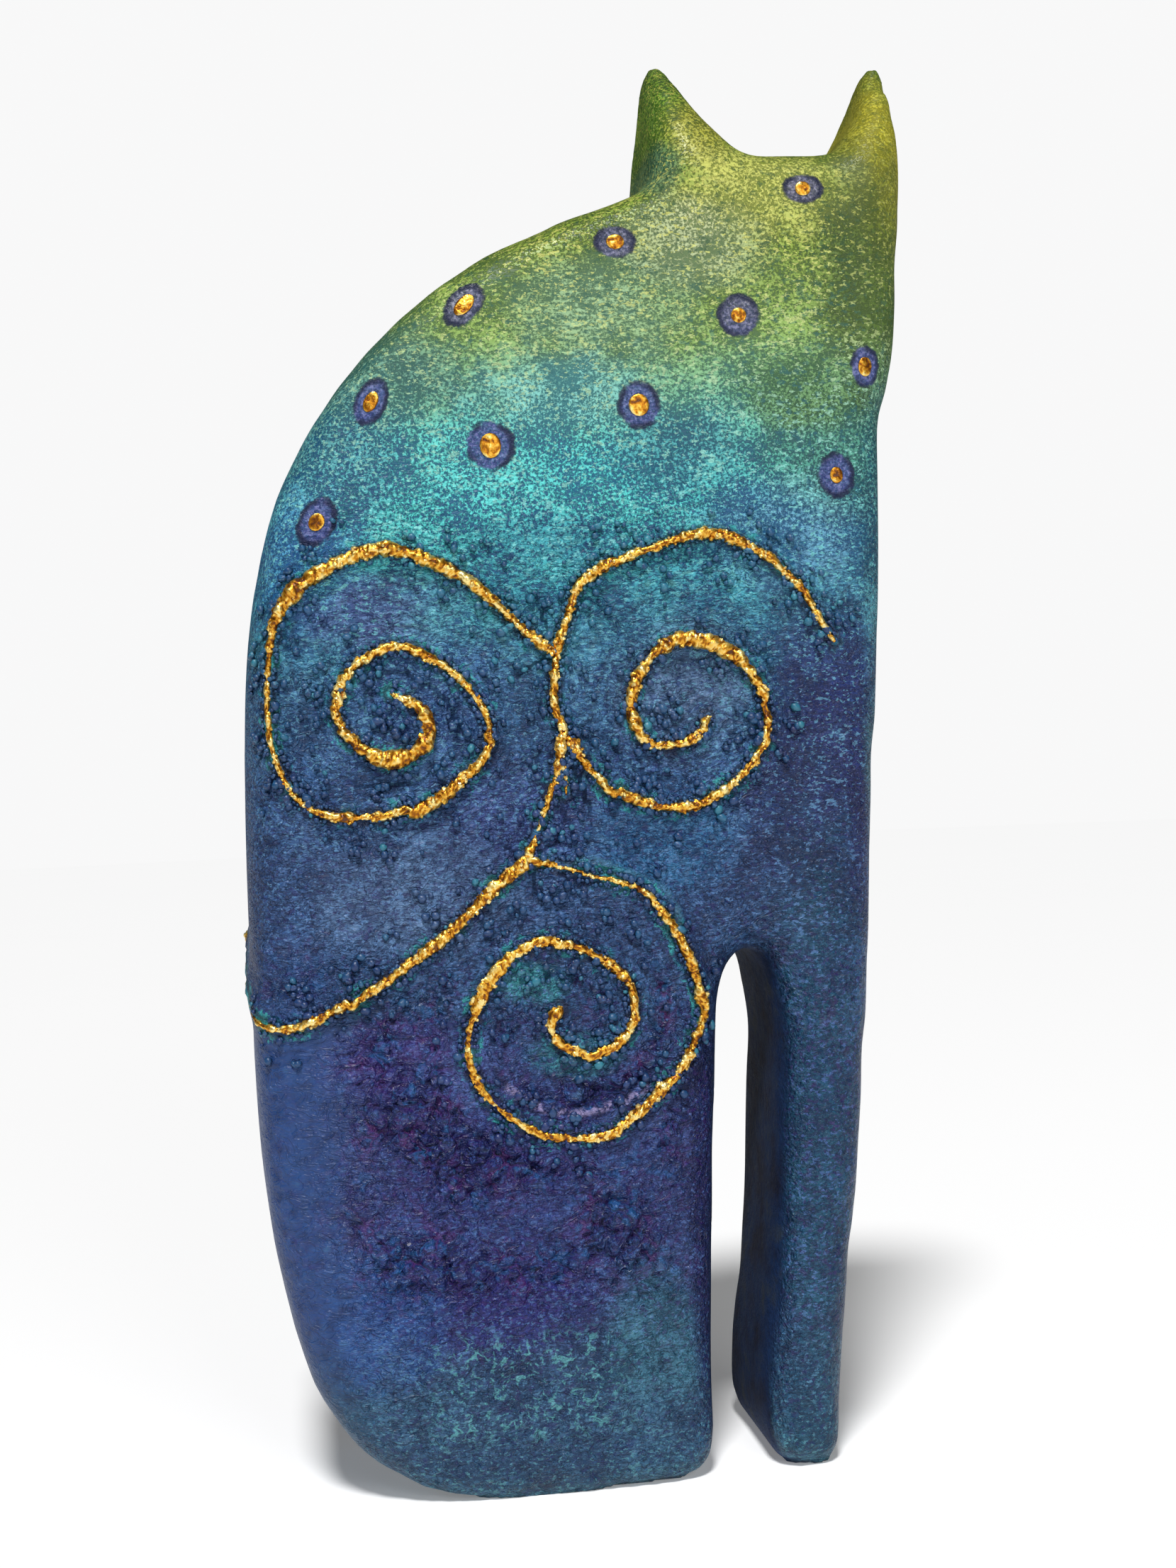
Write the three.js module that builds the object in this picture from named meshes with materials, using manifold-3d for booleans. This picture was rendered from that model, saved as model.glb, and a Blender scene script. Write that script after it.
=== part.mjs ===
// A seated ceramic cat, built as a thick slab with rounded edges.
// The body is in profile with its chest and front legs towards +X, and the head is turned
// so that its back is towards the viewer at -Y. The underside stands on z = 0 and the
// origin is under the middle of the piece. All sizes are in millimetres.
//
// The form is a rounded extrusion of one outline. Its half depth changes over the piece:
// the haunch swells, both faces are slightly crowned and the ears thin towards their tips.
// Low raised scrolls run over the near face. They are joined to the body as one solid.

import * as THREE from "three";
import { mergeVertices } from "three/addons/utils/BufferGeometryUtils.js";
import Module from "manifold-3d";

const wasm = await Module();
wasm.setup();

// Driving dimensions
const HEIGHT = 378.4; // underside to ear tips
const WIDTH = 184; // rump to chest
const HALF_DEPTH = 28.5; // half the thickness beside the rounded edge
const CROWN = 1.5; // how far both faces rise from there to their middle
const CROWN_REACH = 40; // distance from the edge at which the crown is full
const EDGE_RADIUS = 10.5; // rounding between the faces and the outline
const BASE_RADIUS = 3.2; // the same rounding at the underside
const BASE_BLEND = 22; // height over which the base rounding grows to the full one
const HAUNCH = { x: -24, z: 70, halfWidth: 86, halfHeight: 200, swell: 4.5 };
const HEAD_TOP = 348.4; // height of the flat crown between the ears
const EAR_BASE = 342; // height at which the ears start to thin
const EAR_TAPER = 1.5; // power of that thinning: 1 is a straight cone, more is rounder
const EAR_TIP_RADIUS = 3;
const EAR_TIP_HALF_DEPTH = 4.5;
const EAR_EDGE_RADIUS = 3.5; // rounding between face and outline at the ear tips

// Grid of the surface: wide cells on the body, narrow ones on the leg and ears
const WIDE_CELL = 9.2;
const NARROW_CELL = 6.2;
const BODY_CELL = 8.8;
const EAR_CELL = 3.4;
const MARGIN = 4;
const GROUND_BAND = 1.4; // points this close to the ground stand on it
const DEPTH_PLANES = [3.5, 12, 20.5, 27.5, 32.6, 37];

// Raised scrolls
const BEAD_RADIUS = 3; // section of the round bead
const BEAD_RISE = 1.4; // how far it stands out of the surface
const BEAD_SIDES = 6;
const BEAD_STEP = 7.4;

const point = ([x, z]) => new THREE.Vector2(x, z);
const points = (list) => list.map(point);

// The outline, counter-clockwise from the underside of the haunch as seen from -Y.
// Smooth stretches are curves through a few points, and corners are where two meet.
const HAUNCH_CORNER = [[12, 0], [18.4, 1.3], [22.4, 5], [23.8, 13]];
const HAUNCH_FRONT = [[24.4, 32], [25.4, 50], [27.4, 88], [29.5, 116], [31.2, 128]];
const ARCH_TOP = [[34.2, 134.5], [39, 137], [43.6, 133.2]];
const LEG_BACK = [[46, 116], [45.6, 100], [42.8, 60], [38.9, 30], [37.8, 17]];
const LEG_CORNER = [[38.4, 8], [41, 1.8], [44.4, 0]];
const TOE_CORNER = [[51.4, 0], [55.6, 1.2], [57.6, 5.8]];
const CHEST = [[58.8, 16], [65.4, 66], [69.8, 104], [75.7, 180], [80.2, 240], [81.6, 277]];
const JOWL = [[84.2, 285], [87.3, 300], [89, 324], [90.2, 345], [90.9, 362]];
const RIGHT_EAR = { tip: [88.9, HEIGHT - EAR_TIP_RADIUS], inner: [[80.6, 361], [73.4, 350.8]] };
const LEFT_EAR = { tip: [27.4, HEIGHT - EAR_TIP_RADIUS], inner: [[46, 350.4], [40, 356.8], [35, 364.8]] };
const HEAD_CORNERS = [71.8, 48.4]; // where the flat crown meets the ears
const NAPE = [[23.3, 360], [22, 347], [20.4, 339.4]];
const BACK = [
  [13.5, 336.8], [-4, 330.6], [-24, 321.6], [-45, 307.2], [-64, 287], [-80, 259.8], [-88.4, 226],
];
const RUMP = [[-91.2, 188], [-91.9, 140], [-91.2, 92], [-86.9, 56], [-80, 30], [-69, 13.4]];
const RUMP_CORNER = [[-53.6, 3.8], [-39, 0.6], [-26, 0]];

/** The silhouette of the cat as one closed shape in the plane of its width and height. */
function catOutline() {
  const shape = new THREE.Shape();
  const [rightX, rightZ] = RIGHT_EAR.tip;
  const [leftX, leftZ] = LEFT_EAR.tip;
  shape.moveTo(RUMP_CORNER.at(-1)[0], 0);
  shape.lineTo(...HAUNCH_CORNER[0]);
  const arch = [...HAUNCH_FRONT, ...ARCH_TOP, ...LEG_BACK];
  shape.splineThru(points([...HAUNCH_CORNER.slice(1), ...arch, ...LEG_CORNER]));
  shape.lineTo(...TOE_CORNER[0]);
  shape.splineThru(points([...TOE_CORNER.slice(1), ...CHEST]));
  shape.splineThru(points(JOWL));
  shape.absarc(rightX, rightZ, EAR_TIP_RADIUS, 0, Math.PI * 0.8);
  shape.splineThru(points(RIGHT_EAR.inner));
  for (const x of HEAD_CORNERS) shape.lineTo(x, HEAD_TOP);
  shape.splineThru(points(LEFT_EAR.inner));
  shape.absarc(leftX, leftZ, EAR_TIP_RADIUS, Math.PI * 0.15, Math.PI);
  shape.splineThru(points(NAPE));
  shape.splineThru(points([...BACK, ...RUMP, ...RUMP_CORNER]));
  return shape;
}

const OUTLINE_DIVISIONS = 4;
const outline = catOutline().getPoints(OUTLINE_DIVISIONS);

/** Signed distance from a point to the outline, negative inside it. */
function outlineDistance(x, z) {
  let nearest = Infinity;
  let inside = false;
  for (let i = 0, j = outline.length - 1; i < outline.length; j = i++) {
    const a = outline[j];
    const b = outline[i];
    const ex = b.x - a.x;
    const ez = b.y - a.y;
    const length2 = ex * ex + ez * ez;
    if (length2 === 0) continue;
    const along = THREE.MathUtils.clamp(((x - a.x) * ex + (z - a.y) * ez) / length2, 0, 1);
    nearest = Math.min(nearest, Math.hypot(x - a.x - along * ex, z - a.y - along * ez));
    if (a.y > z !== b.y > z && x < a.x + ((z - a.y) * ex) / ez) inside = !inside;
  }
  return inside ? -nearest : nearest;
}

/** How far up the ears a height is, from 0 at their base to 1 at their tips. */
function upEar(z) {
  return THREE.MathUtils.clamp((z - EAR_BASE) / (HEIGHT - EAR_BASE), 0, 1);
}

/** Radius of the rounding between the faces and the outline at a height. */
function edgeRadius(z) {
  const base = (BASE_RADIUS - EDGE_RADIUS) * (1 - THREE.MathUtils.smoothstep(z, 0, BASE_BLEND));
  return EDGE_RADIUS + base + (EAR_EDGE_RADIUS - EDGE_RADIUS) * upEar(z);
}

/** Half the thickness of the slab at a place, with its crown, haunch and ears. */
function halfDepth(x, z, distanceInside) {
  const crown = CROWN * THREE.MathUtils.smoothstep(distanceInside, 0, CROWN_REACH);
  const haunch2 = ((x - HAUNCH.x) / HAUNCH.halfWidth) ** 2 + ((z - HAUNCH.z) / HAUNCH.halfHeight) ** 2;
  const swell = HAUNCH.swell * Math.max(0, 1 - haunch2) ** 2 * 1.25;
  const full = HALF_DEPTH + crown + Math.min(swell, HAUNCH.swell);
  return full + (EAR_TIP_HALF_DEPTH - full) * upEar(z) ** EAR_TAPER;
}

/** Distance field of the body, negative inside: the outline and the depth, rounded together. */
function bodyField(x, y, z) {
  const side = outlineDistance(x, z);
  const face = Math.abs(y) - halfDepth(x, z, Math.max(-side, 0));
  const radius = edgeRadius(z);
  const u = side + radius;
  const v = face + radius;
  return Math.min(Math.max(u, v), 0) + Math.hypot(Math.max(u, 0), Math.max(v, 0)) - radius;
}

/** Evenly spaced planes from one value to another, no further apart than the cell size. */
function planes(from, to, cell) {
  const count = Math.ceil((to - from) / cell);
  return Array.from({ length: count + 1 }, (_, i) => from + ((to - from) * i) / count);
}

/** Moves a point along the slope of the field until it lies on the surface. */
function settle(p, field) {
  const step = 0.02;
  for (let pass = 0; pass < 6; pass++) {
    const value = field(p.x, p.y, p.z);
    const slope = new THREE.Vector3(
      field(p.x + step, p.y, p.z) - field(p.x - step, p.y, p.z),
      field(p.x, p.y + step, p.z) - field(p.x, p.y - step, p.z),
      field(p.x, p.y, p.z + step) - field(p.x, p.y, p.z - step),
    ).divideScalar(2 * step);
    const steepness = slope.lengthSq();
    if (Math.abs(value) < 1e-4 || steepness < 0.05) break;
    p.addScaledVector(slope, -value / steepness);
  }
  return p;
}

/** Closed mesh of a field's zero surface: one point for each cell that it crosses. */
function surfaceOf(field, xs, ys, zs) {
  const sizes = [xs.length, ys.length, zs.length];
  const index = (i, j, k) => (i * sizes[1] + j) * sizes[2] + k;
  const corner = (i, j, k) => new THREE.Vector3(xs[i], ys[j], zs[k]);
  const values = new Float64Array(sizes[0] * sizes[1] * sizes[2]);
  for (let i = 0; i < sizes[0]; i++)
    for (let j = 0; j < sizes[1]; j++)
      for (let k = 0; k < sizes[2]; k++) values[index(i, j, k)] = field(xs[i], ys[j], zs[k]);

  const cellPoint = new Map();
  const positions = [];
  const offsets = [[0, 0, 0], [1, 0, 0], [0, 1, 0], [1, 1, 0], [0, 0, 1], [1, 0, 1], [0, 1, 1], [1, 1, 1]];
  const edges = [
    [0, 1], [2, 3], [4, 5], [6, 7], [0, 2], [1, 3], [4, 6], [5, 7], [0, 4], [1, 5], [2, 6], [3, 7],
  ];
  for (let i = 0; i + 1 < sizes[0]; i++)
    for (let j = 0; j + 1 < sizes[1]; j++)
      for (let k = 0; k + 1 < sizes[2]; k++) {
        const corners = offsets.map(([a, b, c]) => [i + a, j + b, k + c]);
        const sum = new THREE.Vector3();
        let crossings = 0;
        for (const [a, b] of edges) {
          const va = values[index(...corners[a])];
          const vb = values[index(...corners[b])];
          if (va < 0 === vb < 0) continue;
          sum.add(corner(...corners[a]).lerp(corner(...corners[b]), va / (va - vb)));
          crossings++;
        }
        if (crossings === 0) continue;
        const p = settle(sum.divideScalar(crossings), field);
        if (Math.abs(p.z) < GROUND_BAND) p.z = 0;
        cellPoint.set(index(i, j, k), positions.length / 3);
        positions.push(p.x, p.y, p.z);
      }

  // Every grid edge that crosses the surface gives the four cells round it one quad
  const triangles = [];
  const vertex = (id) => new THREE.Vector3(...positions.slice(id * 3, id * 3 + 3));
  const addQuad = (a, b, c, d) => {
    const shortFirst = vertex(a).distanceTo(vertex(c)) <= vertex(b).distanceTo(vertex(d));
    triangles.push(...(shortFirst ? [a, b, c, a, c, d] : [b, c, d, b, d, a]));
  };
  for (let axis = 0; axis < 3; axis++) {
    const next = (axis + 1) % 3;
    const last = (axis + 2) % 3;
    const first = [0, 1, 2].map((n) => (n === axis ? 0 : 1));
    for (let i = first[0]; i + 1 < sizes[0]; i++)
      for (let j = first[1]; j + 1 < sizes[1]; j++)
        for (let k = first[2]; k + 1 < sizes[2]; k++) {
          const from = [i, j, k];
          const to = from.map((value, n) => value + (n === axis ? 1 : 0));
          const va = values[index(...from)];
          const vb = values[index(...to)];
          if (va < 0 === vb < 0) continue;
          const cell = (back, backLast) => {
            const at = [...from];
            at[next] -= back;
            at[last] -= backLast;
            return cellPoint.get(index(...at));
          };
          const ring = [cell(0, 0), cell(1, 0), cell(1, 1), cell(0, 1)];
          addQuad(...(va < 0 ? ring : ring.reverse()));
        }
  }
  const geometry = new THREE.BufferGeometry();
  geometry.setAttribute("position", new THREE.Float32BufferAttribute(positions, 3));
  geometry.setIndex(triangles);
  return geometry;
}

// Centre lines of the scrolls, each from its inner end outwards. Two numbers are a place on the
// near face, and three are a place beside the surface where a line runs round the edge.
const STEM_TOP = [-10.6, 216];
const STEM_FORK = [-9.6, 194];
const STEM_FOOT = [-20, 163.4];
const SCROLLS = [
  // upper left scroll, over the shoulder
  [
    [-53, 207.4], [-46.6, 203.4], [-44.2, 197.4], [-48, 192.2], [-55, 190.8], [-61.6, 194.2], [-66.4, 201],
    [-65.6, 209], [-60, 216], [-50, 219], [-37.6, 212.4], [-30, 202.4], [-29.4, 194], [-34.8, 186],
    [-46, 178.8], [-62, 176.2], [-76, 180], [-83.2, 193], [-84.2, 211], [-80, 230], [-67.6, 240],
    [-52, 244], [-33, 236], [-18, 222], STEM_TOP,
  ],
  // the stem between the scrolls
  [STEM_TOP, [-11.6, 204], STEM_FORK, [-12.4, 184], [-17, 172], STEM_FOOT],
  // upper right scroll, round the shoulder blade
  [
    [28.4, 198.4], [25.4, 193.6], [19, 191.6], [12, 193], [8.8, 200], [10.4, 209], [18, 217.2], [28, 218],
    [37.4, 212.8], [43.4, 203], [43.6, 192], [34.6, 181], [21.6, 175.2], [8, 177.8], [-3, 185.6], STEM_FORK,
  ],
  // the arc that springs over it from the top of the stem
  [
    STEM_TOP, [-7.2, 225], [-2, 235], [12, 241.6], [30, 245.8], [43, 241.4], [54, 232.6], [60, 222.6],
    [63.8, 217],
  ],
  // lower scroll, on the haunch
  [
    [-13.8, 125], [-14.6, 119.4], [-9, 114.6], [-1.4, 114.8], [4, 120.6], [4, 129.4], [-2.6, 136.8],
    [-13, 141.2], [-24.6, 138], [-33, 128.2], [-36.2, 115], [-31, 102.8], [-17.6, 94.2], [-0.8, 94.6],
    [13, 104], [21.2, 115], [22.8, 127], [17.2, 143], [7.6, 154.4], [-6, 159.4], STEM_FOOT,
  ],
  // the long line that sweeps down to the rump, round its edge and into a curl on the far side
  [
    STEM_FOOT, [-29.6, 156.2], [-43, 144.2], [-59, 133.6], [-73, 126.6], [-83.4, -28, 123.6],
    [-89.8, -23, 126.4], [-92.4, -15, 133], [-92.6, -3, 140], [-92.4, 10, 144], [-90, 21, 145],
    [-82, 29, 142], [-68, 31, 134], [-57, 32, 121], [-54, 32, 107], [-60, 32, 96], [-70, 32, 95],
    [-74.4, 32, 103], [-69.6, 32, 109],
  ],
];

/** A round bead along a scroll, sunk so that only its back stands out of the surface. */
function scrollBead(scroll) {
  const sunkField = (x, y, z) => bodyField(x, y, z) + BEAD_RADIUS - BEAD_RISE;
  const rough = new THREE.CatmullRomCurve3(
    scroll.map((place) => {
      const y = place.length > 2 ? place[1] : -HALF_DEPTH;
      return new THREE.Vector3(place[0], y, place.at(-1));
    }),
  );
  const spaced = rough.getSpacedPoints(Math.round(rough.getLength() / (BEAD_STEP / 2)));
  const path = new THREE.CatmullRomCurve3(spaced.map((p) => settle(p, sunkField)));
  const section = new THREE.Shape();
  section.absarc(0, 0, BEAD_RADIUS, 0, 2 * Math.PI);
  return new THREE.ExtrudeGeometry(section, {
    steps: Math.round(path.getLength() / BEAD_STEP),
    curveSegments: BEAD_SIDES,
    extrudePath: path,
  });
}

/** A closed geometry as a solid that can be joined. */
function solidOf(geometry) {
  const bare = geometry.clone();
  bare.deleteAttribute("normal");
  bare.deleteAttribute("uv");
  const merged = mergeVertices(bare, 1e-4);
  return new wasm.Manifold(
    new wasm.Mesh({
      numProp: 3,
      vertProperties: new Float32Array(merged.attributes.position.array),
      triVerts: new Uint32Array(merged.index.array),
    }),
  );
}

/** The triangles of a solid as a geometry with normals. */
function geometryOf(solid) {
  const mesh = solid.getMesh();
  const geometry = new THREE.BufferGeometry();
  geometry.setAttribute("position", new THREE.Float32BufferAttribute(mesh.vertProperties, 3));
  geometry.setIndex(Array.from(mesh.triVerts));
  geometry.computeVertexNormals();
  return geometry;
}

/** The whole cat: the body with its scrolls joined on, standing over the origin. */
function catGeometry() {
  const sideX = WIDTH / 2 + MARGIN;
  const [leftEarX] = LEFT_EAR.tip;
  const [rightEarX] = RIGHT_EAR.tip;
  const wide = planes(-sideX, leftEarX, WIDE_CELL);
  const narrow = [...planes(leftEarX, rightEarX, NARROW_CELL).slice(1), sideX];
  const low = planes(-MARGIN, EAR_BASE - MARGIN, BODY_CELL);
  const high = planes(EAR_BASE - MARGIN, HEIGHT + MARGIN, EAR_CELL).slice(1);
  const nearPlanes = DEPTH_PLANES.map((depth) => -depth).reverse();
  const across = [...wide, ...narrow];
  const through = [...nearPlanes, ...DEPTH_PLANES];
  const body = surfaceOf(bodyField, across, through, [...low, ...high]);
  const joined = SCROLLS.reduce((solid, scroll) => solid.add(solidOf(scrollBead(scroll))), solidOf(body));
  const geometry = geometryOf(joined);
  geometry.computeBoundingBox();
  const middle = geometry.boundingBox.getCenter(new THREE.Vector3());
  return geometry.translate(-middle.x, -middle.y, 0);
}

const glaze = new THREE.MeshStandardMaterial({ color: 0x3d6a8c, roughness: 0.55, metalness: 0 });
const cat = new THREE.Mesh(catGeometry(), glaze);
cat.name = "cat_body";

const sculpture = new THREE.Group();
sculpture.add(cat);

export default sculpture;
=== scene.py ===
"""A seated ceramic cat with gilded scrolls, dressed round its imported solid.

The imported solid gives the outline, the thickness and the place of everything. The casting is a
smoothed copy of it with the hand-worked paste modelled on its near face. Crusty gilded beads,
grit and painted dots are laid on that casting. Lengths in the classes are in millimetres, and
the meshes are in metres.
"""

import logging
import math
import random
from collections.abc import Sequence
from dataclasses import dataclass, field
from enum import Enum

import bmesh
import bpy
import numpy as np
from mathutils import Matrix, Vector, geometry, noise
from mathutils.bvhtree import BVHTree
from mathutils.kdtree import KDTree


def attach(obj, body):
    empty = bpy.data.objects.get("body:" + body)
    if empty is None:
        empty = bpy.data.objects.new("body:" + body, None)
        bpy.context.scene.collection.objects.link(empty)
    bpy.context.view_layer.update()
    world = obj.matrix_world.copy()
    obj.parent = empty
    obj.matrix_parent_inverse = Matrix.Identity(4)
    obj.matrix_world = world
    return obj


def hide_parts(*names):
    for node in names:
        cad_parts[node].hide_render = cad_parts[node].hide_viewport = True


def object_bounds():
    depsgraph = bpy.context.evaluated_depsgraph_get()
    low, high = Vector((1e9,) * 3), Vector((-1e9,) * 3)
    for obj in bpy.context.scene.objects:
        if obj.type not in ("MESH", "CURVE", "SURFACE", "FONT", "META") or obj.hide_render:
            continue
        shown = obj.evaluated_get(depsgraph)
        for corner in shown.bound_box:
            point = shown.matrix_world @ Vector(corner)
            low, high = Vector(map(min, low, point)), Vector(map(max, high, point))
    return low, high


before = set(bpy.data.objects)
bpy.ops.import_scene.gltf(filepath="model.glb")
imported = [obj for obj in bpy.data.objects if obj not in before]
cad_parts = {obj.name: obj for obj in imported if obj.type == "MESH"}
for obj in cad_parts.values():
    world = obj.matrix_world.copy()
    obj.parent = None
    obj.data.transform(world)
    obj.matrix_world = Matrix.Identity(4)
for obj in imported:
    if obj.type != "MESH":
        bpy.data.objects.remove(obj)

MM = 0.001
NODE = "cat_body"
SEED = 11
CAD_LOW, CAD_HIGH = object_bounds()
SHIFT_X, SHIFT_Y = 0.735, 0.27  # from the outline's own zero to the middle of the box

log = logging.getLogger("cat")

Numbers = np.ndarray
Mesh = bpy.types.Mesh
Socket = bpy.types.NodeSocket
Material = bpy.types.Material
Layer = bmesh.types.BMLayerItem
Triple = tuple[float, float, float]
Colour = tuple[int, int, int]
Stop = tuple[float, Colour]


class Side(Enum):
    """The two broad faces of the slab, by the sign of y on them."""

    NEAR = -1
    FAR = 1


class Slot(Enum):
    """The record's material slots."""

    CERAMIC = "painted_ceramic"
    GILDING = "gilding"


def linear(colour: Colour) -> tuple[float, float, float, float]:
    """Turns a display colour into the linear colour that a shader takes.

    Args:
        colour: Red, green and blue from 0 to 255.

    Returns:
        The linear colour with an alpha of 1.
    """
    parts = [c / 255 for c in colour]
    return (*[c / 12.92 if c <= 0.04045 else ((c + 0.055) / 1.055) ** 2.4 for c in parts], 1.0)


def smoothstep(values: Numbers, low: float, high: float) -> Numbers:
    """Rises smoothly from 0 at low to 1 at high, or falls where low is the greater.

    Args:
        values: Numbers to map.
        low: Value that gives 0.
        high: Value that gives 1.

    Returns:
        The mapped numbers.
    """
    t = np.clip((values - low) / (high - low), 0, 1)
    return t * t * (3 - 2 * t)


def wave_noise(points: Numbers, size: float, seed: float = 0.0) -> Numbers:
    """Smooth noise from about -1 to 1 at every point.

    Args:
        points: Places in millimetres.
        size: Size of the noise's lumps in millimetres.
        seed: Offset that gives another pattern.

    Returns:
        One number for each point.
    """
    offset = Vector((seed, seed * 1.7, -seed))
    return np.array([noise.noise(Vector(p) / size + offset) for p in points])


def rough_noise(points: Numbers, size: float, octaves: int, seed: float = 0.0) -> Numbers:
    """Layered noise from about -1 to 1, with finer lumps on coarser ones.

    Args:
        points: Places in millimetres.
        size: Size of the coarsest lumps in millimetres.
        octaves: Number of layers, each half the size of the one before.
        seed: Offset that gives another pattern.

    Returns:
        One number for each point.
    """
    offset = Vector((seed, -seed, seed * 2.3))
    return np.array([noise.fractal(Vector(p) / size + offset, 0.9, 2.1, octaves) for p in points])


def cracks(points: Numbers, size: float, seed: float = 0.0) -> tuple[Numbers, Numbers]:
    """Cell pattern: how near each point is to a border between cells, and its cell's own number.

    Args:
        points: Places in millimetres.
        size: Size of the cells in millimetres.
        seed: Offset that gives another pattern.

    Returns:
        The distance to the border as a share of the cell, and a number from 0 to 1 for the cell.
    """
    border = np.empty(len(points))
    shade = np.empty(len(points))
    offset = Vector((seed, seed, seed))
    for i, p in enumerate(points):
        distances, centres = noise.voronoi(Vector(p) / size + offset)
        border[i] = distances[1] - distances[0]
        shade[i] = noise.cell(centres[0] * 7.3)
    return border, np.abs(shade) % 1


def read_points(mesh: Mesh) -> Numbers:
    """Reads the vertices of a mesh.

    Args:
        mesh: Mesh to read.

    Returns:
        Their places in millimetres.
    """
    flat = np.empty(len(mesh.vertices) * 3)
    mesh.vertices.foreach_get("co", flat)
    return flat.reshape(-1, 3) / MM


def write_points(mesh: Mesh, points: Numbers) -> None:
    """Puts vertices given in millimetres into a mesh."""
    mesh.vertices.foreach_set("co", (points * MM).ravel())
    mesh.update()


def read_normals(mesh: Mesh) -> Numbers:
    """Reads the vertex normals of a mesh.

    Args:
        mesh: Mesh to read.

    Returns:
        One normal for each vertex.
    """
    flat = np.empty(len(mesh.vertices) * 3)
    mesh.vertex_normals.foreach_get("vector", flat)
    return flat.reshape(-1, 3)


def write_attribute(mesh: Mesh, name: str, values: Numbers) -> None:
    """Stores one number for each vertex under a name that materials read."""
    layer = mesh.attributes.new(name, "FLOAT", "POINT")
    layer.data.foreach_set("value", np.asarray(values, dtype=np.float32))


def add_object(name: str, mesh: Mesh) -> bpy.types.Object:
    """Links a new object that holds a mesh.

    Args:
        name: Name of the object.
        mesh: Its mesh.

    Returns:
        The object.
    """
    made = bpy.data.objects.new(name, mesh)
    bpy.context.scene.collection.objects.link(made)
    return made


def made_mesh(name: str, body: bmesh.types.BMesh) -> Mesh:
    """Turns a worked body into a mesh and frees it.

    Args:
        name: Name of the mesh.
        body: Body to turn.

    Returns:
        The mesh.
    """
    mesh = bpy.data.meshes.new(name)
    body.to_mesh(mesh)
    body.free()
    return mesh


def close_piece(name: str, mesh: Mesh, finish: Material) -> bpy.types.Object:
    """Makes a finished piece of the cat, which rides on its one body.

    Args:
        name: Name of the piece.
        mesh: Its mesh.
        finish: Its material.

    Returns:
        The piece.
    """
    mesh.materials.clear()
    mesh.materials.append(finish)
    piece = add_object(name, mesh)
    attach(piece, "root")
    return piece


def baked(source: bpy.types.Object, name: str) -> Mesh:
    """The mesh of an object with its modifiers or its curve worked in.

    Args:
        source: Object to read. It is removed afterwards.
        name: Name of the new mesh.

    Returns:
        The new mesh.
    """
    view = bpy.context.evaluated_depsgraph_get()
    mesh = bpy.data.meshes.new_from_object(source.evaluated_get(view))
    mesh.name = name
    bpy.data.objects.remove(source)
    return mesh


class Value:
    """A number in a node tree, on which Python's operators add Math nodes."""

    def __init__(self, paint: "Paint", socket: Socket) -> None:
        """Wraps a socket of a paint's tree."""
        self.paint = paint
        self.socket = socket

    def _math(self, operation: str, first: "Value | float", second: "Value | float") -> "Value":
        """Adds one Math node.

        Args:
            operation: The node's operation.
            first: Its first input.
            second: Its second input.

        Returns:
            The node's output.
        """
        made = self.paint.node("ShaderNodeMath", {"operation": operation}, {0: first, 1: second})
        return Value(self.paint, made.outputs[0])

    def __add__(self, other: "Value | float") -> "Value":
        """Sum."""
        return self._math("ADD", self, other)

    def __radd__(self, other: float) -> "Value":
        """Sum with a plain number first."""
        return self._math("ADD", other, self)

    def __sub__(self, other: "Value | float") -> "Value":
        """Difference."""
        return self._math("SUBTRACT", self, other)

    def __rsub__(self, other: float) -> "Value":
        """Difference with a plain number first."""
        return self._math("SUBTRACT", other, self)

    def __mul__(self, other: "Value | float") -> "Value":
        """Product."""
        return self._math("MULTIPLY", self, other)

    def __rmul__(self, other: float) -> "Value":
        """Product with a plain number first."""
        return self._math("MULTIPLY", other, self)

    def __truediv__(self, other: "Value | float") -> "Value":
        """Quotient."""
        return self._math("DIVIDE", self, other)

    def rise(self, low: float, high: float) -> "Value":
        """Goes smoothly from 0 at low to 1 at high, or falls where low is the greater.

        Args:
            low: Value that gives 0.
            high: Value that gives 1.

        Returns:
            A number from 0 to 1.
        """
        ends = {"From Min": min(low, high), "From Max": max(low, high)}
        ends |= {"To Min": float(low > high), "To Max": float(low < high)}
        settings = {"interpolation_type": "SMOOTHSTEP"}
        made = self.paint.node("ShaderNodeMapRange", settings, {"Value": self, **ends})
        return Value(self.paint, made.outputs["Result"])


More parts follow.
